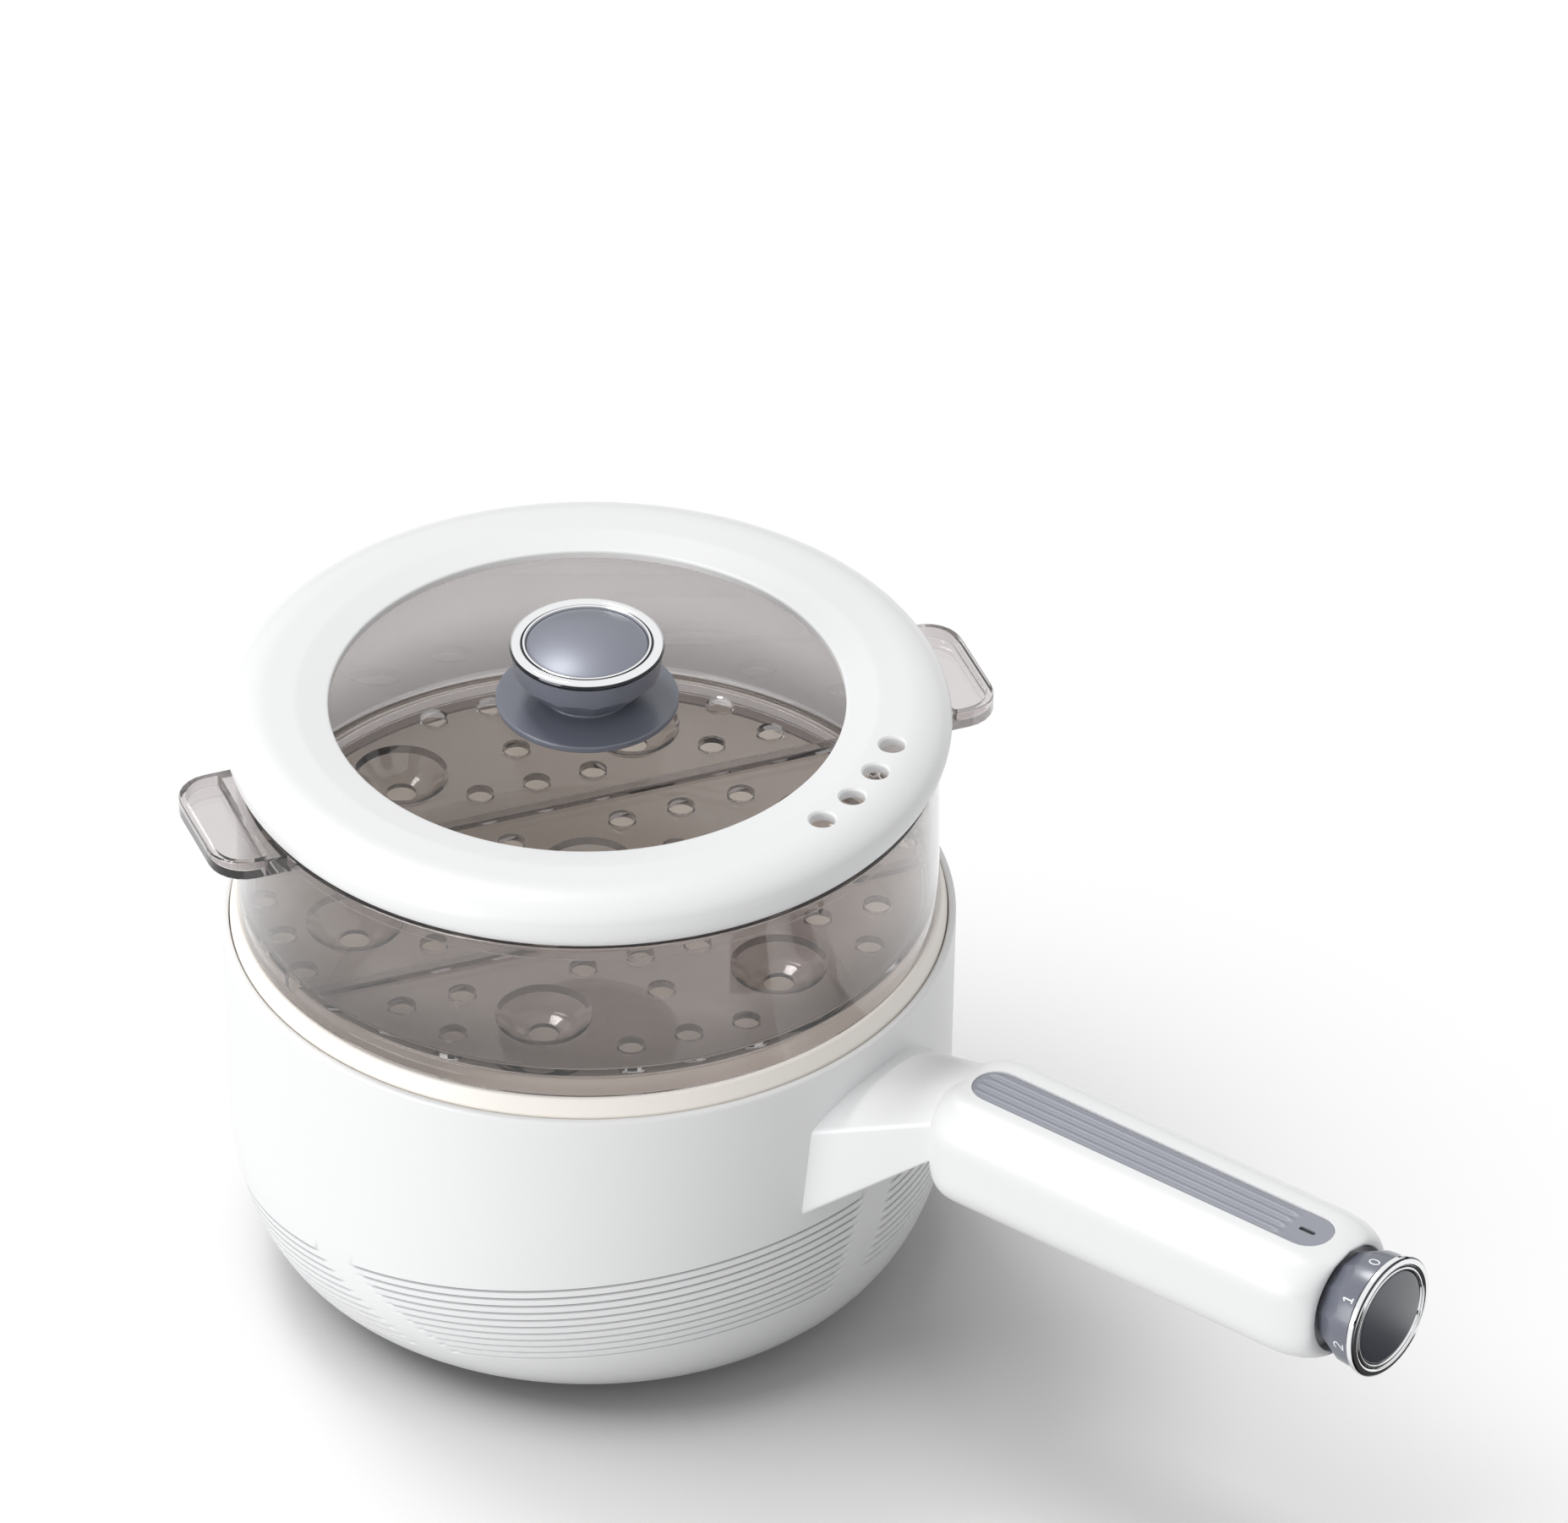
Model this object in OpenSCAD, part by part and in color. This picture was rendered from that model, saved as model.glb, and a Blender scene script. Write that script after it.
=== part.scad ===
// Electric hot pot with a lift-out steam tray and a lid. Millimetres.
// The pot axis is Z, the table is z = 0 and the handle points along +X.

/* [Outer housing] */
// Outer radius at the lip
housing_r = 100; // [94:0.5:108]
// Height of the lip above the table
housing_h = 110; // [102:0.5:122]
// Wall thickness
housing_wall = 2.6; // [2.2:0.1:3]
// Radius lost between the lip and the top of the curved belly
housing_draft = 1.2; // [0.6:0.1:2.4]
// Radial depth of the curved belly
belly_run = 25.4; // [22:0.2:28]
// Height of the curved belly
belly_drop = 45; // [40:0.5:50]
// Height of the bottom edge above the table
foot_h = 6; // [5:0.2:8]
// Wall thickness beside the pot rim
lip_wall = 2.1; // [1.7:0.1:2.4]
// Rounding of the lip
lip_round = 1.2; // [0.6:0.1:1.6]
// Depth of the gasket ledge below the lip
ledge_drop = 5.8; // [4:0.2:8]
// Width of the gasket ledge
ledge_w = 2; // [1.6:0.1:2.4]
// Width of the flat edge round the bottom opening
bottom_edge = 3.4; // [2.6:0.2:5]
// Width of the inner flange above the bottom cover
flange_w = 10; // [9:0.5:12]
// Thickness of the inner flange
flange_t = 2.4; // [2:0.1:3]
// Length of the screw posts under the flange
post_len = 5.4; // [5:0.2:7]
// Radius of the screw posts
post_r = 4; // [3.4:0.1:4.4]

/* [Inner pot] */
// Rise of the rim above the lip
rim_rise = 5; // [3.5:0.25:7]
// Width of the flat top of the rim
rim_flat = 1.6; // [1.2:0.1:1.8]
// Wall thickness
pot_wall = 2; // [1.6:0.1:2.4]
// Gap from the lip's outside to the pot wall above the bottom rounding
pot_gap = 8; // [7:0.5:12]
// Radius of the bottom rounding
pot_round = 30; // [22:1:34]
// Thickness of the seal under the rim
gasket_t = 1.2; // [0.8:0.1:1.8]

/* [Bottom] */
// Thickness of the bottom cover
cover_t = 2.4; // [2.2:0.1:3]
// Radius of a foot
foot_r = 8; // [6:0.5:9]
// Distance of the feet from the edge of the bottom opening
foot_inboard = 18; // [17:1:26]
// Depth of a foot in the cover
foot_inset = 1; // [0.6:0.1:1.2]
// Screw shank radius
screw_r = 1.5; // [1.25:0.05:1.75]
// Screw head radius
screw_head_r = 2.9; // [2.6:0.1:3.2]
// Screw head height
screw_head_t = 1.4; // [1.1:0.1:1.6]

/* [Heating] */
// Distance of the heating plate from the edge of the inner flange
plate_inset = 3; // [2:0.5:10]
// Thickness of the heating plate
plate_t = 7; // [6.6:0.2:9]
// Radius of the heater ring
heater_ring_r = 42; // [36:1:46]
// Radius of the heater tube
heater_tube_r = 2.9; // [2.4:0.1:3]
// Thermostat radius
thermostat_r = 8; // [6.5:0.5:9]
// Width of the clamp bar
bridge_w = 14; // [10:1:18]
// Thickness of the clamp bar
bridge_t = 1.8; // [1.4:0.1:2]
// Wire radius
wire_r = 0.9; // [0.7:0.05:1]

/* [Power inlet] */
// Width of the inlet body
inlet_w = 28; // [24:1:32]
// Height of the inlet body
inlet_h = 15; // [13:0.5:15.5]
// Height of the inlet centre above the table
inlet_z = 18.5; // [18:0.1:19]
// Depth of the plug recess
inlet_depth = 14; // [10:0.5:15]
// Pin radius
pin_r = 2; // [1.5:0.1:2.4]

/* [Handle] */
// Height of the handle axis
handle_z = 96; // [92:0.5:100]
// Distance of the grip from the housing lip
neck_len = 26; // [22:0.5:32]
// Length of the grip
grip_len = 135.5; // [125:0.5:150]
// Width of the grip
grip_w = 40; // [38:0.5:44]
// Height of the grip
grip_h = 32.6; // [32:0.2:36]
// Long edge rounding
grip_round = 11; // [9:0.5:12]
// Corner rounding seen from above
grip_plan_round = 13; // [11:0.5:15]
// Corner rounding seen from the side
grip_side_round = 8; // [6:0.5:9]
// Wall thickness of the grip
grip_wall = 2.4; // [2:0.1:2.8]
// Thickness of the lower cover
grip_cover_t = 2.6; // [2.3:0.1:3]
// Half width of the neck at the housing, top
neck_root_w = 25; // [22:0.5:28]
// Half width of the neck at the housing, bottom
neck_foot_w = 27.3; // [24:0.5:30]
// Half width of the neck at the grip
neck_end_w = 15.5; // [13:0.5:17]
// Height of the neck top at the housing
neck_root_top = 91.5; // [88:0.5:95]
// Height of the neck underside at the housing
neck_root_low = 64.8; // [60:0.5:68]
// Height of the neck top at the grip, from the handle axis
neck_end_top = 7; // [5:0.5:9]
// Height of the neck underside at the grip, from the handle axis
neck_end_low = -5.2; // [-7:0.1:-5]

/* [Inlay] */
// Width of the inlay strip
inlay_w = 14; // [10:0.5:16]
// Distance of the strip from the start of the grip
inlay_start = 7.5; // [6:0.5:12]
// Distance of the strip from the end of the grip
inlay_end = 9.5; // [9:0.5:14]
// Depth of the strip pocket
inlay_deep = 1.4; // [1:0.1:1.6]
// Step of the strip below the grip top
inlay_step = 0.4; // [0.2:0.1:0.6]
// Lengthwise ribs on the strip
inlay_ribs = 4; // [3:1:5]
// Lamp window length
lamp_len = 5.2; // [4:0.2:7]
// Lamp window width
lamp_w = 1.6; // [1.2:0.1:2.4]

/* [Dial] */
// Radius of the recess in the grip end
recess_r = 14.9; // [14.2:0.1:15.2]
// Depth of the recess
recess_deep = 6.5; // [5:0.5:7]
// Thickness of the wall behind the recess
end_wall = 2.4; // [2:0.1:3]
// Dial radius inside the recess
dial_back_r = 13; // [11.5:0.1:13.4]
// Dial radius at the ring
dial_front_r = 16.4; // [15.6:0.1:16.8]
// Length of the faceted part of the dial
dial_facet_len = 6.7; // [5:0.1:8]
// Length of the numbered band
dial_band_len = 5.7; // [4:0.1:7]
// Outer radius of the bright ring
dial_ring_r = 17.3; // [17:0.1:18]
// Length of the bright ring
dial_ring_len = 2.9; // [2.4:0.1:3.6]
// Radius of the end cap
dial_cap_r = 13.4; // [12:0.1:14]
// Radius of the switch shaft
shaft_r = 3; // [2.5:0.1:3.2]
// Switch width and height
switch_w = 18; // [14:0.5:19]
// Switch length
switch_len = 14; // [12:0.5:16]

/* [Steam tray] */
// Step of the wall inside the outer edge of the pot rim
tray_step = 2.2; // [2:0.1:2.7]
// Wall thickness
tray_wall = 2.4; // [2:0.1:2.8]
// Height from the pot rim to the tray rim
tray_h = 49.6; // [44:0.2:60]
// Height of the floor above the pot rim
tray_floor_z = 7.5; // [6:0.1:9]
// Floor thickness
tray_floor_t = 2.5; // [2:0.1:3]
// Outward step of the rim bead
bead_w = 0.6; // [0.3:0.1:0.9]
// Height of the rim bead
bead_h = 4; // [3:0.5:5]
// Depth of the rib that centres the tray in the pot
tray_rib_h = 2.5; // [1.5:0.1:3.5]
// Direction of the ears from the handle
tray_turn = 58.2; // [45:0.2:75]
// Distance of the outermost holes from the wall
hole_edge = 6; // [5.5:0.5:9]
// Hole radius
hole_r = 3.4; // [2.5:0.1:3.6]
// Egg cup radius at the floor
cup_r = 12.8; // [11.5:0.1:13.2]
// Egg cup radius at the bottom
cup_low_r = 4; // [3:0.1:5]
// Egg cup wall
cup_wall = 1.5; // [1.2:0.1:1.7]
// Distance of the outer egg cups from the wall
cup_inset = 26; // [25.5:0.5:27.5]
// Width of a floor rib
floor_rib_w = 4; // [3:0.1:4.4]
// Height of a floor rib
floor_rib_h = 1.5; // [1:0.1:2.5]
// Reach of an ear beyond the wall
ear_out = 17; // [13.6:0.2:24]
// Half width of an ear
ear_half = 21.8; // [19:0.2:26]
// Corner radius of an ear
ear_round = 10.2; // [8:0.2:12]
// Height of an ear
ear_h = 5.6; // [5:0.2:8]
// Depth of the dish in an ear
ear_dish = 3.6; // [2:0.2:4]
// Thickness of the ear lip
ear_lip = 1.9; // [1.5:0.1:2.4]

/* [Lid] */
// Overhang of the ring beyond the tray wall
lid_over = 3.3; // [2.1:0.1:5.6]
// Width of the ring seen from above
lid_band = 28.7; // [26.7:0.5:32.7]
// Height of the ring
lid_h = 15; // [14:0.2:17]
// Rounding of the inner top edge
lid_in_round = 0.7; // [0.4:0.1:1]
// Width of the slope inside the crown
lid_slope = 9; // [6:0.5:10]
// Drop of the slope from the crown to the inner edge
lid_slope_drop = 1.2; // [0.6:0.1:1.4]
// Height of the inner wall over the glass
lid_wall = 2.1; // [1.6:0.1:2.4]
// Thickness of the flange under the glass
lid_flange = 1.4; // [1:0.1:2]
// Top thickness over the hollow of the ring
lid_top_t = 3; // [2.4:0.1:4]
// Rise of the glass from its edge to its middle
glass_rise = 2.3; // [1.6:0.1:2.6]
// Glass thickness
glass_t = 4; // [3.2:0.1:4.2]
// Depth of the glass edge in the ring
glass_grip = 4; // [3:0.2:4.4]
// Radius of a steam hole
vent_r = 3.5; // [2.5:0.1:4]
// Distance of the steam holes from the outer edge of the ring
vent_inset = 13.4; // [13.4:0.1:16.7]
// Direction of the middle of the steam holes
vent_turn = 9.5; // [0:0.1:30]
// Angle between steam holes
vent_step = 8.9; // [8:0.1:11]

/* [Lid knob] */
// Radius of the knob foot
knob_foot_r = 24.8; // [22:0.2:28]
// Height of the knob foot
knob_foot_h = 4.3; // [3.6:0.1:5]
// Radius of the knob neck
knob_neck_r = 10.5; // [9.5:0.1:12]
// Radius of the knob at its ring
knob_top_r = 19.6; // [18:0.2:20.4]
// Height of the faceted knob body
knob_body_h = 13.1; // [11:0.1:15]
// Outer radius of the bright ring
knob_ring_r = 21; // [20.6:0.1:22]
// Height of the bright ring
knob_ring_h = 2.3; // [2.2:0.1:3.4]
// Radius of the knob cap
knob_cap_r = 16.6; // [15:0.1:17.2]
// Rise of the knob cap above its ring
knob_cap_rise = 2; // [1.4:0.1:3]
// Radius of the lid screw
lid_screw_r = 2.5; // [2:0.1:3]

/* [Fits] */
// Running fit of the dial shaft
run_fit = 0.05; // [0.02:0.01:0.1]
// Clearance of fixed pieces
fix_fit = 0.1; // [0.06:0.01:0.15]
// Clearance of loose pieces
loose_fit = 0.3; // [0.3:0.02:0.5]
// Clearance of the ribs that centre the tray and the lid
guide_fit = 0.7; // [0.5:0.05:0.9]

/* [Hidden] */
$fn = 96;
arc_steps = 12;
belly_h = foot_h + belly_drop;
belly_c = housing_r - housing_draft - belly_run;
lip_in_r = housing_r - lip_wall;
ledge_r = lip_in_r - ledge_w;
ledge_z = housing_h - ledge_drop;
open_r = belly_c - bottom_edge;
cover_z = foot_h + fix_fit;
cover_top = cover_z + cover_t;
flange_r = open_r - flange_w;
flange_z = cover_top + post_len;
flange_top = flange_z + flange_t;
post_circle = open_r - post_r - screw_r;
foot_circle = open_r - foot_inboard;
plate_r = flange_r - plate_inset;
slot_circle = 30;
slot_len = 20;
slot_w = 3;
plate_gap = 0.6;
plate_z = flange_top + plate_gap;
pot_z = plate_z + plate_t;
rim_z0 = ledge_z + gasket_t;
rim_z = housing_h + rim_rise;
rim_r = lip_in_r - loose_fit;
rim_top_r = rim_r - 1.6;
rim_in_r = rim_top_r - rim_flat;
pot_top_r = ledge_r - 0.5;
pot_low_r = housing_r - pot_gap;
pot_c = pot_low_r - pot_round;
pot_round_z = pot_z + pot_round;
stud_r = 3;
nut_t = 2.8;
nut_flat_r = 5.6;
thermostat_t = 5;
thermostat_x = -(bridge_w / 2 + thermostat_r + 6);
fuse_x = bridge_w / 2 + 14;
fuse_r = 2;
fuse_len = 14;
leg_r = 1.8;
leg_len = 3;
tab_w = 6;
tab_t = 0.8;
tab_h = 5;
heater_gap = 50;
block_turn = 140;
block_w = 24;
block_d = 11;
block_h = 7;
block_r = open_r + 6;
lead_r = open_r - 4;
inlet_x = housing_r - 5.5;
inlet_len = 20;
pin_back = 2.4;
pin_out = 0.2;
inlet_back = 0.6;
inlet_frame = 2.4;
inlet_wall = 2.4;
pin_gap = 5;
grip_x0 = housing_r + neck_len;
grip_x1 = grip_x0 + grip_len;
grip_mid = (grip_x0 + grip_x1) / 2;
grip_low = handle_z - grip_h / 2;
grip_top = handle_z + grip_h / 2;
part_z = grip_low + grip_cover_t;
recess_x = grip_x1 - recess_deep;
wall_x = recess_x - end_wall;
neck_x0 = housing_r - 8;
neck_x1 = grip_x0 + 6;
neck_ref = housing_r - 3.8;
neck_ref_end = grip_x0 + 3;
wire_z = 78;
wire_x = housing_r - 12;
wire_bore_len = 62;
wire_gap = 2.8;
wire_dip = 5;
wire_tilt = atan2(handle_z - wire_z, grip_x0 + 12 - wire_x);
wire_hole_r = 4.6;
neck_screw_y = 14;
neck_screw_z = wire_z + 2;
neck_screw_len = 14;
neck_screw_seat = sqrt(pow(housing_r - housing_wall - 1.2, 2) - pow(neck_screw_y, 2));
grip_screw_near = 24;
grip_screw_far = 92;
grip_screw_x = [grip_x0 + grip_screw_near, grip_x0 + grip_screw_far];
grip_screw_len = 10;
boss_r = 3.6;
strip_x0 = grip_x0 + inlay_start;
strip_x1 = grip_x1 - inlay_end;
strip_top = grip_top - inlay_step;
strip_low = grip_top - inlay_deep;
rib_x0 = strip_x0 + 4;
rib_x1 = strip_x1 - 13.5;
rib_w = 1.4;
lamp_x = strip_x1 - 7.4;
lamp_low = strip_low - grip_wall;
switch_x1 = wall_x;
bushing_r = 4.4;
bushing_x1 = recess_x + 1.9;
switch_nut_t = 1.8;
dial_x = recess_x + 2.6;
dial_ring_x = dial_x + dial_facet_len + dial_band_len;
dial_cap_x = dial_ring_x + 0.9;
dial_mid_r = (dial_back_r + 3 * dial_front_r) / 4;
board_t = 1.4;
board_z = handle_z + switch_w / 2;
tray_r = rim_r - tray_step;
tray_in_r = tray_r - tray_wall;
hole_pitch = (tray_in_r - hole_edge) / 5;
cup_circle = tray_in_r - cup_inset;
ear_reach = tray_r + ear_out;
ear_len = 80;
tray_z = rim_z;
tray_top = tray_z + tray_h;
floor_top = tray_z + tray_floor_z;
tray_rib_r = rim_in_r - guide_fit;
tray_rib_wall = 2.4;
ear_chord = tray_r + 3;
ear_top = tray_top - 0.4;
lid_r = tray_r + lid_over;
lid_in_r = lid_r - lid_band;
vent_circle = lid_r - vent_inset;
lid_z = tray_top;
lid_top = lid_z + lid_h;
lid_edge = lid_h / 2;
lid_rib_r = tray_in_r - guide_fit;
lid_rib_wall = 3.2;
lid_rib_h = 3;
glass_r = lid_in_r + glass_grip;
dome_r = (glass_r * glass_r + glass_rise * glass_rise) / (2 * glass_rise);
lid_in_top = lid_top - lid_slope_drop;
groove_top = lid_in_top - lid_wall;
glass_edge_z = groove_top - 0.6;
glass_top = glass_edge_z + glass_rise;
groove_low = glass_edge_z - glass_t - 0.3;
hollow_in = glass_r + 2.8;
flange_low = groove_low - lid_flange;
hollow_out = lid_rib_r - lid_rib_wall;
lid_hole_r = lid_screw_r + 1.3;
foot_z = glass_top + fix_fit;
foot_top = foot_z + knob_foot_h;
foot_edge = 0.9;
foot_disc = 1.9;
foot_rise = 0.8;
collar_r = knob_neck_r + 1.2;
knob_mid_r = knob_top_r - 0.4;
knob_facet_h = 8.2;
body_top = foot_top + knob_body_h;
ring_top = body_top + knob_ring_h;
cap_z = ring_top - 1.6;
washer_t = 1.5;
washer_r = 9;
washer_z = glass_top - glass_t - fix_fit - washer_t;
lid_head_t = 2.6;

// Radius of the housing's outer face at a height
function wall_out(z) = z >= belly_h
    ? housing_r - housing_draft * (housing_h - z) / (housing_h - belly_h)
    : belly_c + belly_run * sqrt(max(0, 1 - pow((belly_h - z) / belly_drop, 2)));

// Radius of the inner pot's outer face at a height
function pot_out(z) = z >= pot_round_z
    ? pot_low_r + (pot_top_r - pot_low_r) * (z - pot_round_z) / (ledge_z - pot_round_z)
    : pot_c + sqrt(max(0, pot_round * pot_round - pow(pot_round_z - z, 2)));

// Middle of the gap between pot and housing
function gap_mid(z) = (pot_out(z) + wall_out(z) - housing_wall) / 2;

// Quarter of an ellipse from the bottom to the side
function belly(run, drop) = [for (i = [0:arc_steps]) let (a = 90 * i / arc_steps)
    [belly_c + run * sin(a), belly_h - drop * cos(a)]];

function arc(c, r, a0, a1) = [for (i = [0:arc_steps]) let (a = a0 + (a1 - a0) * i / arc_steps)
    [c[0] + r * cos(a), c[1] + r * sin(a)]];

function flip(list) = [for (i = [len(list) - 1:-1:0]) list[i]];

module round_rect(w, h, r) {
    square([w - 2 * r, h], center = true);
    square([w, h - 2 * r], center = true);
    for (x = [-1, 1], y = [-1, 1]) translate([x * (w / 2 - r), y * (h / 2 - r)]) circle(r);
}

// A piece turned round the X axis instead of Z, starting at x
module along_x(x, z) {
    translate([x, 0, z]) rotate([0, 90, 0]) children();
}

module housing_outside(gap) {
    rotate_extrude() polygon(concat([[0, foot_h]],
        [for (p = belly(belly_run + gap, belly_drop)) p],
        [[housing_r + gap, housing_h], [0, housing_h]]));
}

module posts() {
    for (a = [45:90:315]) rotate(a) translate([post_circle, 0, 0]) children();
}

module inlet_block(grow, x0, x1) {
    translate([-x1, -inlet_w / 2 - grow, inlet_z - inlet_h / 2 - grow])
        cube([x1 - x0, inlet_w + 2 * grow, inlet_h + 2 * grow]);
}

module wire_bore(r) {
    translate([wire_x, 0, wire_z]) rotate([0, 90 - wire_tilt, 0]) cylinder(r = r, h = wire_bore_len);
}

module outer_housing() color("WhiteSmoke") difference() {
    union() {
        rotate_extrude() polygon(concat(
            [[open_r, foot_h]], belly(belly_run, belly_drop),
            arc([housing_r - lip_round, housing_h - lip_round], lip_round, 0, 90),
            [[lip_in_r, housing_h], [lip_in_r, ledge_z], [ledge_r, ledge_z],
             [ledge_r, ledge_z - 1.6], [wall_out(ledge_z - 4) - housing_wall, ledge_z - 4]],
            flip(belly(belly_run - housing_wall, belly_drop - housing_wall)),
            [[open_r, foot_h + housing_wall]]));
        rotate_extrude() polygon([[flange_r, flange_z],
            [wall_out(flange_z) - housing_wall / 2, flange_z],
            [wall_out(flange_top) - housing_wall / 2, flange_top], [flange_r, flange_top]]);
        posts() translate([0, 0, cover_top]) cylinder(r = post_r, h = flange_top + 3 - cover_top);
        inlet_block(inlet_frame, inlet_x - 15, inlet_x);
    }
    posts() translate([0, 0, cover_top - 1]) cylinder(r = screw_r + fix_fit, h = post_len + 5);
    inlet_block(0, open_r - flange_w - 1, inlet_x + 1);
    wire_bore(wire_hole_r);
    for (s = [-1, 1]) translate([0, s * neck_screw_y, neck_screw_z]) {
        along_x(neck_screw_seat - 6, 0) cylinder(r = screw_head_r + loose_fit, h = 6);
        along_x(neck_screw_seat - 1, 0) cylinder(r = screw_r + fix_fit, h = 10);
    }
}

module base_cover() color("Gainsboro") difference() {
    translate([0, 0, cover_z]) cylinder(r = open_r - loose_fit, h = cover_t);
    posts() {
        translate([0, 0, cover_z - 1]) cylinder(r = screw_head_r + loose_fit, h = screw_head_t + 1);
        translate([0, 0, cover_z - 1]) cylinder(r = screw_r + fix_fit, h = cover_t + 2);
    }
    for (a = [0:90:270]) rotate(a) translate([foot_circle, 0, cover_z - 1]) {
        cylinder(r = foot_r + loose_fit, h = foot_inset + 1);
        cylinder(r = foot_r / 3 + fix_fit, h = cover_t + 2);
    }
    for (a = [22.5:45:337.5]) rotate(a) translate([slot_circle, 0, cover_z + cover_t / 2])
        cube([slot_len, slot_w, cover_t + 1], center = true);
}

module base_screws() color("Silver") posts() translate([0, 0, cover_z]) {
    cylinder(r = screw_head_r, h = screw_head_t);
    cylinder(r = screw_r, h = cover_t + post_len);
}

module rubber_feet() color("DimGray") for (a = [0:90:270]) rotate(a) translate([foot_circle, 0, 0]) {
    cylinder(r = foot_r, h = cover_z + foot_inset);
    cylinder(r = foot_r / 3, h = cover_top + 1.2);
}

module inner_pot() color("AntiqueWhite") rotate_extrude() polygon(concat(
    [[0, pot_z]],
    arc([pot_c, pot_round_z], pot_round, -90, 0),
    [[pot_top_r, ledge_z], [pot_top_r, rim_z0], [rim_r, rim_z0], [rim_r, housing_h],
     [rim_top_r + 0.7, rim_z - 0.8], [rim_top_r, rim_z], [rim_in_r, rim_z],
     [rim_in_r - 0.5, rim_z - 0.8], [pot_top_r - pot_wall, ledge_z]],
    arc([pot_c, pot_round_z], pot_round - pot_wall, 0, -90),
    [[0, pot_z + pot_wall]]));

module rim_gasket() color("DarkSlateGray") translate([0, 0, ledge_z]) difference() {
    cylinder(r = lip_in_r - fix_fit, h = gasket_t);
    translate([0, 0, -1]) cylinder(r = ledge_r + fix_fit, h = gasket_t + 2);
}

module heating_plate() color("LightGray") difference() {
    translate([0, 0, plate_z]) cylinder(r = plate_r, h = plate_t);
    translate([0, 0, plate_z - 1]) rotate_extrude() translate([heater_ring_r, 0])
        translate([-heater_tube_r - loose_fit, 0])
            square([2 * (heater_tube_r + loose_fit), 2 * heater_tube_r + 1.5]);
    translate([0, 0, plate_z - 1]) cylinder(r = stud_r + fix_fit, h = 5);
}

module heater_ends() {
    for (s = [-1, 1]) rotate(s * heater_gap / 2) translate([heater_ring_r, 0, 0]) children();
}

module heater_tube() color("Sienna") {
    translate([0, 0, plate_z + heater_tube_r + 0.2]) rotate(heater_gap / 2)
        rotate_extrude(angle = 360 - heater_gap) translate([heater_ring_r, 0]) circle(heater_tube_r);
    heater_ends() translate([0, 0, plate_z - leg_len])
        cylinder(r = leg_r, h = leg_len + 0.4 + heater_tube_r);
}

module heater_tabs() color("Goldenrod") heater_ends()
    translate([0, 0, plate_z - leg_len - tab_h / 2]) cube([tab_t, tab_w, tab_h], center = true);

module thermostat() color("Ivory") translate([thermostat_x, 0, plate_z - thermostat_t]) {
    cylinder(r = thermostat_r, h = thermostat_t);
    for (s = [-1, 1]) translate([-0.4, s * thermostat_r / 2 - 2, -2.4]) cube([0.8, 4, 3]);
}

module thermal_fuse() color("Snow") translate([fuse_x, -fuse_len / 2, plate_z - 3.2])
    rotate([-90, 0, 0]) cylinder(r = fuse_r, h = fuse_len);

module fuse_clip() color("Silver") difference() {
    translate([fuse_x - 4, -3, plate_z - 6]) cube([8, 6, 6]);
    translate([fuse_x, -4, plate_z - 3.2]) rotate([-90, 0, 0]) cylinder(r = fuse_r + fix_fit, h = 8);
}

module pot_stud() color("Silver") translate([0, 0, flange_z - bridge_t - nut_t])
    cylinder(r = stud_r, h = plate_z + 4 - flange_z + bridge_t + nut_t);

module clamp_bridge() color("Silver") difference() {
    translate([-bridge_w / 2, -flange_r - 6, flange_z - bridge_t])
        cube([bridge_w, 2 * flange_r + 12, bridge_t]);
    translate([0, 0, flange_z - bridge_t - 1]) cylinder(r = stud_r + loose_fit, h = bridge_t + 2);
}

module clamp_nut() color("Silver") translate([0, 0, flange_z - bridge_t - nut_t]) difference() {
    cylinder(r = nut_flat_r, h = nut_t, $fn = 6);
    translate([0, 0, -1]) cylinder(r = stud_r + fix_fit, h = nut_t + 2);
}

module terminal_block() color("Ivory") rotate(block_turn)
    translate([block_r - block_d / 2, -block_w / 2, flange_top]) difference() {
        cube([block_d, block_w, block_h]);
        for (i = [1:3]) translate([block_d / 2, i * block_w / 4, block_h - 3]) cylinder(r = 1.8, h = 4);
    }

// A round wire through a list of points
function unit(v) = v / norm(v);
function wire_ring(p, i) = let (n = len(p) - 1,
    t = unit(p[min(i + 1, n)] - p[max(i - 1, 0)]),
    u = unit(cross(t, [0, 0, 1])), w = cross(u, t))
    [for (k = [0:7]) p[i] + wire_r * (cos(45 * k) * u + sin(45 * k) * w)];

module wire(p) {
    n = len(p);
    polyhedron(points = [for (i = [0:n - 1]) each wire_ring(p, i)],
        faces = concat([[for (k = [0:7]) k]], [[for (k = [7:-1:0]) 8 * (n - 1) + k]],
            [for (i = [0:n - 2], k = [0:7]) let (m = (k + 1) % 8)
                [8 * i + m, 8 * i + k, 8 * (i + 1) + k, 8 * (i + 1) + m]]));
}

function bore_z(x) = wire_z + (x - wire_x) * tan(wire_tilt);
block_top_z = flange_top + block_h + wire_r + fix_fit;

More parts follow.
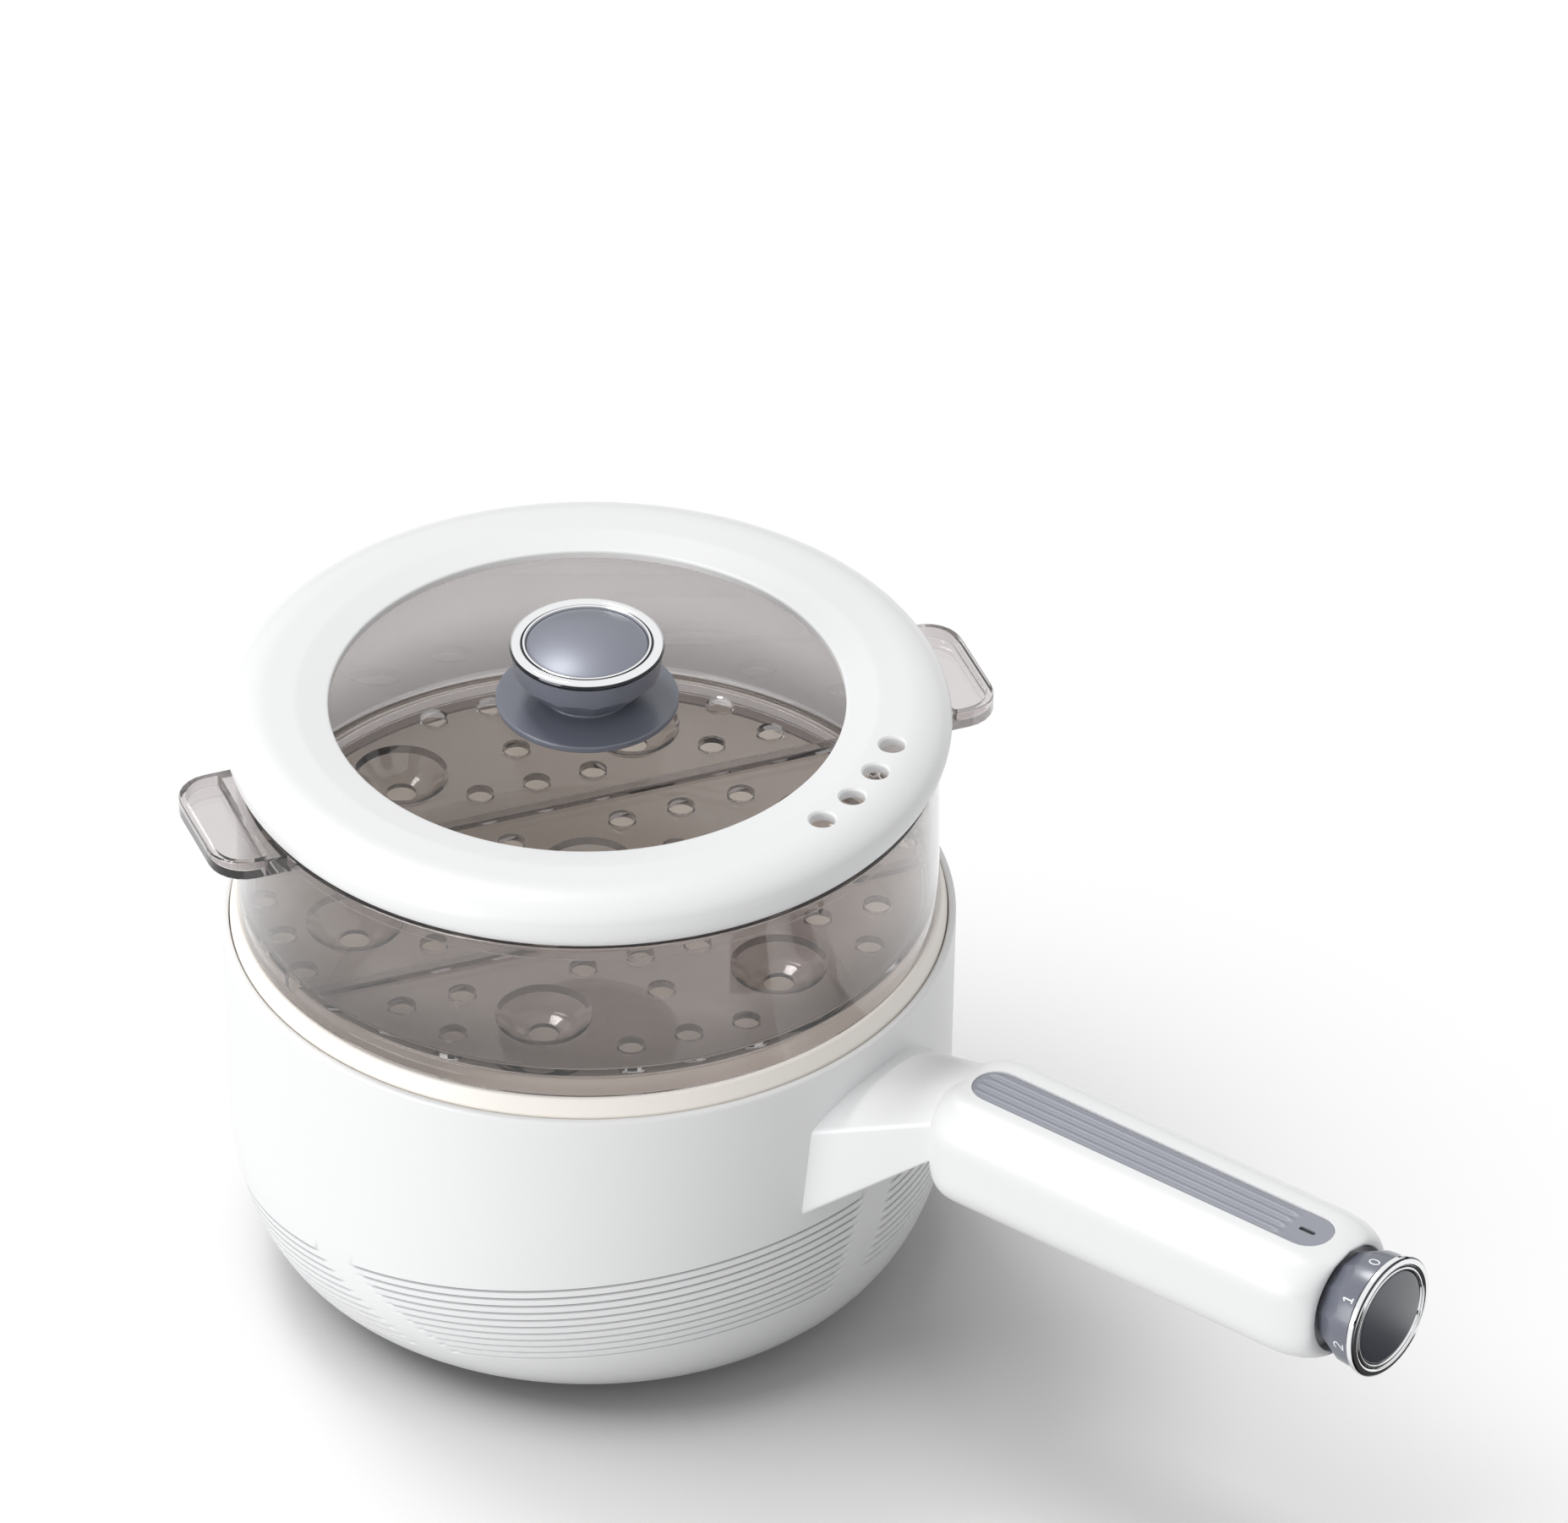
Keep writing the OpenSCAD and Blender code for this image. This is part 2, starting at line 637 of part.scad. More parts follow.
// Wire k runs from the terminal block round the pot, through the neck and along the grip
function switch_wire(k) = concat(
    [for (i = [0:14]) let (s = i / 14, a = block_turn - (block_turn - 6 + 2 * k) * s,
        rise = (wire_z - wire_dip - block_top_z) * s * s * (3 - 2 * s),
        z = block_top_z + rise - (i < 2 ? 0 : wire_gap * k),
        r = i < 2 ? block_r + 2 - 4 * k : gap_mid(z))
        [r * cos(a), r * sin(a), z]],
    [[gap_mid(wire_z) + 0.1, 3.6 - 2 * k, bore_z(neck_ref - 1.2) - 1.4 - 1.4 * k],
     [neck_ref + 4, 2 - 4 * k, bore_z(neck_ref + 4)],
     [grip_x0 - 8, 2 - 4 * k, bore_z(grip_x0 - 8)],
     [grip_x0 + 10, 2.6 - 5.2 * k, bore_z(grip_x0 + 8)],
     [grip_screw_x[0] - 4, 6.6 - 13.2 * k, handle_z - 1],
     [grip_screw_x[1] + 4, 6.6 - 13.2 * k, handle_z - 1],
     [switch_x1 - switch_len - 0.4, 5 - 10 * k, handle_z - 1]]);

// Lead k runs from the terminal block to a pin of the power inlet
function supply_lead(k) = let (z = inlet_z, a = block_turn + 10 * k)
    [[(block_r - block_d / 2 - 1.3) * cos(a), (block_r - block_d / 2 - 1.3) * sin(a), flange_top + 3],
     [lead_r * cos(158), lead_r * sin(158), z + 2.4 * k], [-lead_r, 9 - 12 * k, z + 2.4 * k],
     [-(inlet_x - pin_back - inlet_len - pin_out - 0.7), pin_gap - 2 * pin_gap * k, z]];

module wire_harness() color("Firebrick") for (k = [0, 1]) {
    wire(switch_wire(k));
    wire(supply_lead(k));
}

module power_inlet() color("DimGray") difference() {
    inlet_block(-fix_fit, inlet_x - inlet_back - inlet_len, inlet_x - inlet_back);
    inlet_block(-inlet_wall, inlet_x - inlet_back - inlet_depth, inlet_x);
    inlet_pin_places() cylinder(r = pin_r + fix_fit, h = inlet_len + 2);
}

module inlet_pin_places() {
    for (s = [-1, 1]) translate([0, s * pin_gap, 0]) along_x(-inlet_x, inlet_z) children();
}

module inlet_pins() color("Goldenrod") inlet_pin_places()
    translate([0, 0, pin_back]) cylinder(r = pin_r, h = inlet_len + pin_out);

// The grip is the common part of its end view, top view and side view
module grip_block(inset) {
    intersection() {
        translate([grip_x0 + inset, 0, handle_z]) rotate([90, 0, 90]) linear_extrude(grip_len - 2 * inset)
            round_rect(grip_w - 2 * inset, grip_h - 2 * inset, grip_round - inset);
        translate([grip_mid, 0, grip_low - 1]) linear_extrude(grip_h + 2)
            round_rect(grip_len - 2 * inset, grip_w - 2 * inset, grip_plan_round - inset);
        translate([grip_mid, grip_w, handle_z]) rotate([90, 0, 0]) linear_extrude(2 * grip_w)
            round_rect(grip_len - 2 * inset, grip_h - 2 * inset, grip_side_round - inset);
    }
}

module grip_hollow() {
    intersection() {
        grip_block(grip_wall);
        translate([grip_x0, -grip_w, grip_low - 1])
            cube([wall_x - grip_x0, 2 * grip_w, strip_low - grip_wall - grip_low + 1]);
    }
}

// Neck section at x as half width and height of its corners
function neck_lerp(a, b, x) = a + (b - a) * (x - neck_ref) / (neck_ref_end - neck_ref);

module neck_slice(x) {
    top = neck_lerp(neck_root_top, handle_z + neck_end_top, x);
    low = neck_lerp(neck_root_low, handle_z + neck_end_low, x);
    wt = neck_lerp(neck_root_w, neck_end_w, x);
    wl = neck_lerp(neck_foot_w, neck_end_w, x);
    translate([x, 0, 0]) rotate([90, 0, 90]) linear_extrude(0.2)
        polygon([[-wl, low], [wl, low], [wt, top], [-wt, top]]);
}

module neck_screw_axis(x) {
    for (s = [-1, 1]) translate([0, s * neck_screw_y, neck_screw_z]) along_x(x, 0) children();
}

module stadium(x0, x1, w) {
    translate([x0 + w / 2, -w / 2]) square([x1 - x0 - w, w]);
    for (x = [x0 + w / 2, x1 - w / 2]) translate([x, 0]) circle(w / 2);
}

module lamp_block(grow, z0, z1) {
    translate([lamp_x - lamp_len / 2 - grow, -lamp_w / 2 - grow, z0])
        cube([lamp_len + 2 * grow, lamp_w + 2 * grow, z1 - z0]);
}

module handle_shell() color("WhiteSmoke") difference() {
    union() {
        difference() {
            union() {
                grip_block(0);
                hull() {
                    neck_slice(neck_x0);
                    neck_slice(neck_x1);
                }
            }
            grip_hollow();
            translate([grip_x0 - 1, -grip_w, grip_low - 1])
                cube([grip_len + 2, 2 * grip_w, part_z - grip_low + 1]);
        }
        for (x = grip_screw_x) translate([x, 0, part_z])
            cylinder(r = boss_r, h = strip_low - grip_wall + 0.5 - part_z);
    }
    for (x = grip_screw_x) translate([x, 0, part_z - 1])
        cylinder(r = screw_r + fix_fit, h = grip_screw_len + 3);
    housing_outside(fix_fit);
    wire_bore(wire_hole_r);
    neck_screw_axis(neck_screw_seat - 3) cylinder(r = screw_r + fix_fit, h = neck_screw_len + 3);
    along_x(recess_x, handle_z) cylinder(r = recess_r, h = recess_deep + 1);
    along_x(wall_x - 1, handle_z) cylinder(r = bushing_r + fix_fit, h = end_wall + 2);
    translate([0, 0, strip_low]) linear_extrude(inlay_deep + 1)
        stadium(strip_x0 - fix_fit, strip_x1 + fix_fit, inlay_w + 2 * fix_fit);
    lamp_block(fix_fit, lamp_low - 1, grip_top);
}

module handle_cover() color("Gainsboro") difference() {
    intersection() {
        grip_block(0);
        translate([grip_x0 - 1, -grip_w, grip_low - 1])
            cube([grip_len + 2, 2 * grip_w, grip_cover_t + 1 - fix_fit]);
    }
    for (x = grip_screw_x) translate([x, 0, grip_low - 1]) {
        cylinder(r = screw_head_r + loose_fit, h = screw_head_t + 1);
        cylinder(r = screw_r + fix_fit, h = grip_cover_t + 2);
    }
}

module handle_screws() color("Silver") for (x = grip_screw_x) translate([x, 0, grip_low]) {
    cylinder(r = screw_head_r, h = screw_head_t);
    cylinder(r = screw_r, h = grip_cover_t + grip_screw_len);
}

module neck_screws() color("Silver") {
    neck_screw_axis(neck_screw_seat - screw_head_t) cylinder(r = screw_head_r, h = screw_head_t);
    neck_screw_axis(neck_screw_seat - screw_head_t) cylinder(r = screw_r, h = neck_screw_len);
}

module grip_inlay() color("LightSlateGray") difference() {
    union() {
        translate([0, 0, strip_low]) linear_extrude(strip_top - strip_low)
            stadium(strip_x0, strip_x1, inlay_w);
        for (i = [0:inlay_ribs - 1])
            let (y = (i - (inlay_ribs - 1) / 2) * inlay_w / (inlay_ribs + 1))
                translate([rib_x0, y - rib_w / 2, strip_low])
                    cube([rib_x1 - rib_x0, rib_w, inlay_deep - 0.1]);
    }
    lamp_block(fix_fit, lamp_low - 1, grip_top);
}

module indicator_lens() color("Black") lamp_block(0, lamp_low, strip_top);

module indicator_board() color("DarkGreen") {
    translate([switch_x1 - switch_len, -7, board_z]) cube([switch_len - 1, 14, board_t]);
    translate([lamp_x, 0, board_z]) cylinder(r = 1.4, h = lamp_low - 0.3 - board_z);
}

module rotary_switch() color("DimGray") difference() {
    union() {
        translate([switch_x1 - switch_len, -switch_w / 2, handle_z - switch_w / 2])
            cube([switch_len, switch_w, switch_w]);
        along_x(switch_x1 - 1, handle_z) cylinder(r = bushing_r, h = bushing_x1 - switch_x1 + 1);
    }
    along_x(switch_x1 - switch_len + 3, handle_z) cylinder(r = shaft_r + run_fit, h = switch_len + 10);
}

module switch_nut() color("Silver") along_x(recess_x, handle_z) difference() {
    cylinder(r = 7, h = switch_nut_t, $fn = 6);
    translate([0, 0, -1]) cylinder(r = bushing_r + fix_fit, h = switch_nut_t + 2);
}

module switch_shaft() color("Silver") along_x(switch_x1 - switch_len + 3.4, handle_z)
    cylinder(r = shaft_r, h = dial_x + 9 - switch_x1 + switch_len - 3.4);

module control_knob() color("SlateGray") along_x(dial_x, handle_z) difference() {
    union() {
        rotate(15) cylinder(r1 = dial_back_r, r2 = dial_mid_r - 0.1, h = dial_facet_len + 0.3, $fn = 12);
        translate([0, 0, dial_facet_len]) cylinder(r1 = dial_mid_r, r2 = dial_front_r, h = dial_band_len);
        translate([0, 0, dial_facet_len + 1])
            cylinder(r = dial_cap_r, h = dial_cap_x - dial_x - dial_facet_len - 1);
    }
    translate([0, 0, -1]) cylinder(r = shaft_r + fix_fit, h = 10.2);
}

module knob_ring() color("Silver") along_x(dial_ring_x, handle_z) rotate_extrude() polygon([
    [dial_cap_r + fix_fit, 0], [dial_front_r, 0], [dial_ring_r, 0.6], [dial_ring_r, dial_ring_len - 1],
    [dial_ring_r - 1.1, dial_ring_len], [dial_cap_r + 1, dial_ring_len],
    [dial_cap_r + fix_fit, dial_ring_len - 0.7]]);

module knob_cap() color("DarkSlateGray") along_x(dial_cap_x, handle_z) rotate_extrude() polygon([
    [0, 0], [dial_cap_r, 0], [dial_cap_r, dial_ring_len - 1.2], [dial_cap_r - 0.6, dial_ring_len - 0.7],
    [0, dial_ring_len - 0.4]]);

// Floor hole places in units of the hole spacing, along and across the ears
hole_rows = [[0, [1.45, 2.45, 5]], [1, [0.92, 1.9, 2.9, 5]], [2.4, [0, 0.94, 2.92, 3.9]],
    [3.35, [0, 3.4]], [4.57, [0, 0.94]]];

module hole_places() {
    for (row = hole_rows, t = row[1], s = t == 0 ? [1] : [-1, 1], q = row[0] == 0 ? [1] : [-1, 1])
        translate([s * t * hole_pitch, q * row[0] * hole_pitch]) children();
}

module cup_places() {
    children();
    for (a = [0:60:300]) rotate(a) translate([cup_circle, 0]) children();
}

module ear_plan(inset, x0) {
    intersection() {
        translate([x0, -ear_half - 1]) square([ear_reach - inset - x0, 2 * ear_half + 2]);
        translate([ear_reach - inset - ear_len / 2, 0])
            round_rect(ear_len, 2 * (ear_half - inset), ear_round - inset);
    }
}

module ear() {
    difference() {
        translate([0, 0, ear_top - ear_h]) linear_extrude(ear_h) ear_plan(0, tray_in_r - 8);
        translate([0, 0, ear_top - ear_dish]) linear_extrude(ear_dish + 1) ear_plan(ear_lip, ear_chord);
        translate([0, 0, ear_top - ear_h - 1]) cylinder(r = tray_r - tray_wall / 2, h = ear_h + 2);
    }
}

module steam_tray() color([0.75, 0.72, 0.72, 0.5]) rotate(tray_turn) difference() {
    union() {
        rotate_extrude() polygon([[0, floor_top - tray_floor_t],
            [tray_rib_r - tray_rib_wall, floor_top - tray_floor_t],
            [tray_rib_r - tray_rib_wall, tray_z - tray_rib_h], [tray_rib_r, tray_z - tray_rib_h],
            [tray_rib_r, tray_z], [tray_r, tray_z], [tray_r, tray_top - bead_h],
            [tray_r + bead_w, tray_top - bead_h + bead_w], [tray_r + bead_w, tray_top],
            [tray_in_r, tray_top], [tray_in_r, floor_top], [0, floor_top]]);
        translate([0, 0, tray_z + 0.6]) cup_places()
            cylinder(r1 = cup_low_r + cup_wall, r2 = cup_r + cup_wall, h = tray_floor_z - 0.6);
        for (s = [-1, 1]) intersection() {
            translate([-tray_in_r, s * hole_pitch * 5 / 3 - floor_rib_w / 2, floor_top - 1])
                cube([2 * tray_in_r, floor_rib_w, floor_rib_h + 1]);
            translate([0, 0, floor_top - 1]) cylinder(r = tray_in_r + tray_wall / 2, h = floor_rib_h + 1);
        }
        for (a = [0, 180]) rotate(a) ear();
    }
    translate([0, 0, tray_z + 0.6]) cup_places()
        cylinder(r1 = cup_low_r, r2 = cup_r, h = tray_floor_z - 0.6);
    cup_places() translate([0, 0, tray_z - 1]) cylinder(r = cup_low_r, h = 2);
    cup_places() translate([0, 0, floor_top - 0.01]) cylinder(r = cup_r, h = 0.5);
    hole_places() translate([0, 0, tray_z]) cylinder(r = hole_r, h = tray_floor_z + 1);
}

module lid_ring() color("WhiteSmoke") difference() {
    rotate_extrude() polygon(concat(
        [[lid_in_r, flange_low], [hollow_in, flange_low], [hollow_in, lid_top - lid_top_t],
         [hollow_out, lid_top - lid_top_t], [hollow_out, lid_z - lid_rib_h],
         [lid_rib_r, lid_z - lid_rib_h], [lid_rib_r, lid_z]],
        arc([lid_r - lid_edge, lid_z + lid_edge], lid_edge, -90, 90),
        [[lid_in_r + lid_slope, lid_top]],
        arc([lid_in_r + lid_in_round, lid_in_top - lid_in_round], lid_in_round, 90, 180),
        [[lid_in_r, groove_top], [glass_r + fix_fit, groove_top], [glass_r + fix_fit, groove_low],
         [lid_in_r, groove_low]]));
    for (i = [-1.5:1:1.5]) rotate(vent_turn + i * vent_step)
        translate([vent_circle, 0, lid_top - lid_top_t - 1]) cylinder(r = vent_r, h = lid_top_t + 2);
}

// Shallow dome of the glass from its hole to its edge
function dome(drop) = [for (i = [0:arc_steps]) let (r = lid_hole_r + (glass_r - lid_hole_r) * i / arc_steps)
    [r, glass_top - drop - dome_r + sqrt(dome_r * dome_r - r * r)]];

module lid_glass() color([0.8, 0.85, 0.85, 0.35]) rotate_extrude()
    polygon(concat(dome(glass_t), flip(dome(0))));

module lid_knob_base() color("SlateGray") difference() {
    translate([0, 0, foot_z]) rotate_extrude() polygon([[0, 0], [knob_foot_r, 0], [knob_foot_r, foot_edge],
        [knob_foot_r - foot_edge, foot_disc], [collar_r, foot_disc + foot_rise],
        [collar_r, knob_foot_h], [0, knob_foot_h]]);
    translate([0, 0, foot_z - 1]) cylinder(r = lid_screw_r + fix_fit, h = knob_foot_h + 2);
}

module lid_knob_body() color("SlateGray") difference() {
    translate([0, 0, foot_top]) union() {
        rotate(15) cylinder(r1 = knob_neck_r, r2 = knob_mid_r - 0.1, h = knob_facet_h + 0.3, $fn = 12);
        translate([0, 0, knob_facet_h])
            cylinder(r1 = knob_mid_r, r2 = knob_top_r, h = knob_body_h - knob_facet_h);
        translate([0, 0, knob_body_h - 1]) cylinder(r = knob_cap_r, h = cap_z - body_top + 1);
    }
    translate([0, 0, foot_top - 1]) cylinder(r = lid_screw_r + fix_fit, h = knob_body_h);
}

module lid_knob_ring() color("Silver") translate([0, 0, body_top]) rotate_extrude() polygon([
    [knob_cap_r + fix_fit, 0], [knob_top_r, 0], [knob_ring_r, 0.8], [knob_ring_r, knob_ring_h - 1.2],
    [knob_ring_r - 1.2, knob_ring_h], [knob_cap_r + 1, knob_ring_h],
    [knob_cap_r + fix_fit, knob_ring_h - 0.8]]);

module lid_knob_cap() color("SlateGray") translate([0, 0, cap_z]) rotate_extrude() polygon(concat(
    [[0, 0], [knob_cap_r, 0]],
    [for (i = [0:8]) let (a = 90 * i / 8) [knob_cap_r * cos(a), 0.9 + (0.7 + knob_cap_rise) * sin(a)]]));

module lid_knob_screw() color("Silver") translate([0, 0, washer_z - lid_head_t]) {
    cylinder(r = lid_screw_r + 2.2, h = lid_head_t);
    cylinder(r = lid_screw_r, h = foot_top + knob_body_h - 2.4 - washer_z + lid_head_t);
}

module lid_knob_washer() color("DimGray") translate([0, 0, washer_z]) difference() {
    cylinder(r = washer_r, h = washer_t);
    translate([0, 0, -1]) cylinder(r = lid_screw_r + fix_fit, h = washer_t + 2);
}

outer_housing();
base_cover();
base_screws();
rubber_feet();
inner_pot();
rim_gasket();
heating_plate();
heater_tube();
heater_tabs();
thermostat();
thermal_fuse();
fuse_clip();
pot_stud();
clamp_bridge();
clamp_nut();
terminal_block();
wire_harness();
power_inlet();
inlet_pins();
handle_shell();
handle_cover();
handle_screws();
neck_screws();
grip_inlay();
indicator_lens();
indicator_board();
rotary_switch();
switch_nut();
switch_shaft();
control_knob();
knob_ring();
knob_cap();
steam_tray();
lid_ring();
lid_glass();
lid_knob_base();
lid_knob_body();
lid_knob_ring();
lid_knob_cap();
lid_knob_screw();
lid_knob_washer();
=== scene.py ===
import math
from types import SimpleNamespace
import bmesh
import bpy
import numpy as np
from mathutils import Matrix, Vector


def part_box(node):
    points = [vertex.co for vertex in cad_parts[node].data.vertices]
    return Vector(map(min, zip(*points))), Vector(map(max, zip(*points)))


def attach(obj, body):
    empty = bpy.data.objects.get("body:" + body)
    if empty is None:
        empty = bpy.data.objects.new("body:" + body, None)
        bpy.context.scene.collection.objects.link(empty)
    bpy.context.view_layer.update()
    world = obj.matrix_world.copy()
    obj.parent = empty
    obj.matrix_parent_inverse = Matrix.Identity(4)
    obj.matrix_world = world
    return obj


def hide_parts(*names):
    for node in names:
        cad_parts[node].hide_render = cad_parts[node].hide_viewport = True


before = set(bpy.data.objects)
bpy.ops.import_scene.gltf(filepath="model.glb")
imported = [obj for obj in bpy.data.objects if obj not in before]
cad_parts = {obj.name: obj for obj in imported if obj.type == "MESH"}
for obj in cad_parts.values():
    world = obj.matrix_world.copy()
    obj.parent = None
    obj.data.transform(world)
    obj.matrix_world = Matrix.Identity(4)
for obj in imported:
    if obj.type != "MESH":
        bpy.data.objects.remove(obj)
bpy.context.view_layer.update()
print("frame:", len(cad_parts), "nodes")

mm = 0.001
halfPi = np.pi / 2
fullTurn = 2 * np.pi


# Lowest and highest corner of a CAD node in mm
def nodeBox(node):
    low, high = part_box(node)
    return np.array(low) / mm, np.array(high) / mm


# Settings of a piece, to be read as s.name
def named(settings):
    return SimpleNamespace(**settings)


# New object in the scene
def linked(name, data):
    thing = bpy.data.objects.new(name, data)
    bpy.context.scene.collection.objects.link(thing)
    return thing


housingLow, housingHigh = nodeBox("outer_housing")
potLow, potHigh = nodeBox("inner_pot")
coverLow, coverHigh = nodeBox("handle_cover")
lidLow, lidHigh = nodeBox("lid_ring")
glassHigh = nodeBox("lid_glass")[1]
gripTop = nodeBox("handle_shell")[1][2]
trayTop = nodeBox("steam_tray")[1][2]
lipZ = housingHigh[2]
lipR = housingHigh[1]
rimZ = potHigh[2]
handleZ = (coverLow[2] + gripTop) / 2


# Camera at the photo's angle, long lens

cameraSet = {"turn": 38.08, "tilt": 35.48, "distance": 6.0, "lens": 508.85, "sensor": 36.0,
             "aimRight": 0.05315, "aimUp": 0.15787, "clipStart": 0.1, "clipEnd": 60}


def makeCamera():
    s = named(cameraSet)
    turn = math.radians(s.turn)
    tilt = math.radians(s.tilt)
    right = Vector((math.cos(turn), math.sin(turn), 0))
    ahead = Vector((-math.sin(turn) * math.cos(tilt), math.cos(turn) * math.cos(tilt), -math.sin(tilt)))
    aim = right * s.aimRight + Vector((0, 0, s.aimUp))
    data = bpy.data.cameras.new("photoCamera")
    data.lens = s.lens
    data.sensor_width = s.sensor
    data.clip_start = s.clipStart
    data.clip_end = s.clipEnd
    camera = linked("photoCamera", data)
    camera.location = aim - ahead * s.distance
    camera.rotation_euler = ahead.to_track_quat("-Z", "Y").to_euler()
    bpy.context.scene.camera = camera
    return right, ahead


camRight, camAhead = makeCamera()
print("camera set")


# Curves and grids

straightRuns = (0.1, 0.5, 0.9)
edgeSteps = 5
mergeDistance = 2e-7
sliverLength = 1e-7


# Goes smoothly from 0 to 1 as x goes from 0 to 1
def smoothStep(x):
    x = np.clip(x, 0.0, 1.0)
    return x * x * (3.0 - 2.0 * x)


# Smaller of two surfaces, with their edge rounded over about k
def softMin(a, b, k):
    h = np.clip(0.5 + 0.5 * (b - a) / k, 0.0, 1.0)
    return b + (a - b) * h - k * h * (1.0 - h)


def unit(vectors):
    return vectors / np.linalg.norm(vectors, axis=-1, keepdims=True)


# Grid of points from coordinates that are spread to one shape
def spread(x, y, z):
    return np.stack(np.broadcast_arrays(x, y, z), -1)


# Points from radius, angle and height: x = r cos t, y = r sin t
def polar(radius, t, z):
    return spread(radius * np.cos(t), radius * np.sin(t), z)


# Loops of rounded corners: an arc of each radius is set tangent to the two sides of its corner,
# and each straight run between arcs has points at the given shares of its length
def roundedLoop(corners, radii, steps=6, runs=straightRuns, closed=True):
    corners = np.asarray(corners, float)
    radii = np.broadcast_to(np.asarray(radii, float), corners.shape[:2])
    count = corners.shape[1]
    share = np.linspace(0, 1, steps + 1)
    arcs = []
    for i in range(count):
        p = corners[:, i]
        if not closed and i in (0, count - 1):
            arcs.append(p[:, None])
            continue
        a = unit(corners[:, i - 1] - p)
        b = unit(corners[:, (i + 1) % count] - p)
        half = 0.5 * np.arccos(np.clip((a * b).sum(1), -0.9999, 0.9999))
        radius = np.maximum(radii[:, i], 1e-4)
        centre = p + unit(a + b) * (radius / np.sin(half))[:, None]
        reach = (radius / np.tan(half))[:, None]
        start = p + a * reach - centre
        end = p + b * reach - centre
        angle = np.arctan2(start[:, 1], start[:, 0])
        sweep = np.arctan2(end[:, 1], end[:, 0]) - angle
        sweep = (sweep + np.pi) % fullTurn - np.pi
        turn = angle[:, None] + sweep[:, None] * share
        arcs.append(centre[:, None] + radius[:, None, None] * np.stack([np.cos(turn), np.sin(turn)], -1))
    result = []
    for i, arc in enumerate(arcs):
        result.append(arc)
        if closed or i < count - 1:
            begin = arc[:, -1]
            finish = arcs[(i + 1) % count][:, 0]
            result += [(begin + (finish - begin) * r)[:, None] for r in runs]
    return np.concatenate(result, axis=1)


# One outline from (x, y, radius) corners
def outline(points, steps=6, closed=True):
    data = np.array([tuple(p) + (0.0,) * (3 - len(p)) for p in points], float)
    return roundedLoop(data[None, :, :2], data[None, :, 2], steps, closed=closed)[0]


# Adds points to an outline so that no step is longer than the given length
def filled(path, step, closed=True):
    after = np.roll(path, -1, axis=0) if closed else path[1:]
    before = path if closed else path[:-1]
    counts = np.maximum(1, np.ceil(np.linalg.norm(after - before, axis=1) / step).astype(int))
    parts = [a + (b - a) * np.arange(n)[:, None] / n for a, b, n in zip(before, after, counts)]
    if not closed:
        parts.append(path[-1:])
    return np.concatenate(parts)


# Mesh from a grid of points in mm whose rows are closed loops,
# with flat caps on the first and last row where asked
def gridMesh(points, closeRows=False, caps=False):
    rows, cols = points.shape[:2]
    r, c = np.meshgrid(np.arange(rows if closeRows else rows - 1), np.arange(cols), indexing="ij")
    rn = (r + 1) % rows
    cn = (c + 1) % cols
    quads = np.stack([r * cols + c, r * cols + cn, rn * cols + cn, rn * cols + c], -1)
    faces = quads.reshape(-1, 4).tolist()
    if caps:
        faces.append(list(range(cols))[::-1])
        faces.append(list(range((rows - 1) * cols, rows * cols)))
    mesh = bpy.data.meshes.new("shape")
    mesh.from_pydata((points.reshape(-1, 3) * mm).tolist(), [], faces)
    work = bmesh.new()
    work.from_mesh(mesh)
    bmesh.ops.remove_doubles(work, verts=work.verts, dist=mergeDistance)
    bmesh.ops.dissolve_degenerate(work, edges=work.edges, dist=sliverLength)
    work.to_mesh(mesh)
    work.free()
    return mesh


# Turns an outline of (radius, height) round Z, filled to the given step where there is one
def turned(path, columns, closed=True, step=None):
    if step:
        path = filled(path, step, closed)
    t = np.arange(columns) * fullTurn / columns
    return gridMesh(polar(path[:, :1], t, path[:, 1:]), closeRows=closed)


# Half outline of a plain cylinder
def drumPath(radius, low, high):
    return outline([(0, low), (radius, low), (radius, high), (0, high)], steps=1, closed=False)


# Coordinates of a mesh in mm
def pointsOf(mesh):
    co = np.empty(len(mesh.vertices) * 3)
    mesh.vertices.foreach_get("co", co)
    return co.reshape(-1, 3) / mm


def withPoints(mesh, points):
    mesh.vertices.foreach_set("co", (points * mm).ravel())
    mesh.update()
    return mesh


# Moves a mesh made round Z to the dial's axis, which runs along X at the handle's height
def alongHandle(mesh):
    return withPoints(mesh, pointsOf(mesh)[:, [2, 0, 1]] + np.array([0, 0, handleZ]))


# Lays an upright block over so that its height runs along -X from the given distance
def sideways(mesh, start):
    co = pointsOf(mesh)
    return withPoints(mesh, np.stack([-co[:, 2] - start, -co[:, 0], co[:, 1]], -1))


# Moves a mesh by a vector in mm and turns it about Z by an angle in degrees
def placed(mesh, angle=0.0, move=(0, 0, 0)):
    a = math.radians(angle)
    spin = np.array([[math.cos(a), -math.sin(a), 0], [math.sin(a), math.cos(a), 0], [0, 0, 1]])
    return withPoints(mesh, (pointsOf(mesh) + np.array(move)) @ spin.T)


# Places at a radius and at angles in degrees
def onCircle(radius, angles):
    return [(radius * math.cos(a), radius * math.sin(a)) for a in np.radians(angles)]


# The same turned shape at several places
def scattered(path, columns, places):
    return [placed(turned(path, columns, False), move=(x, y, 0)) for x, y in places]


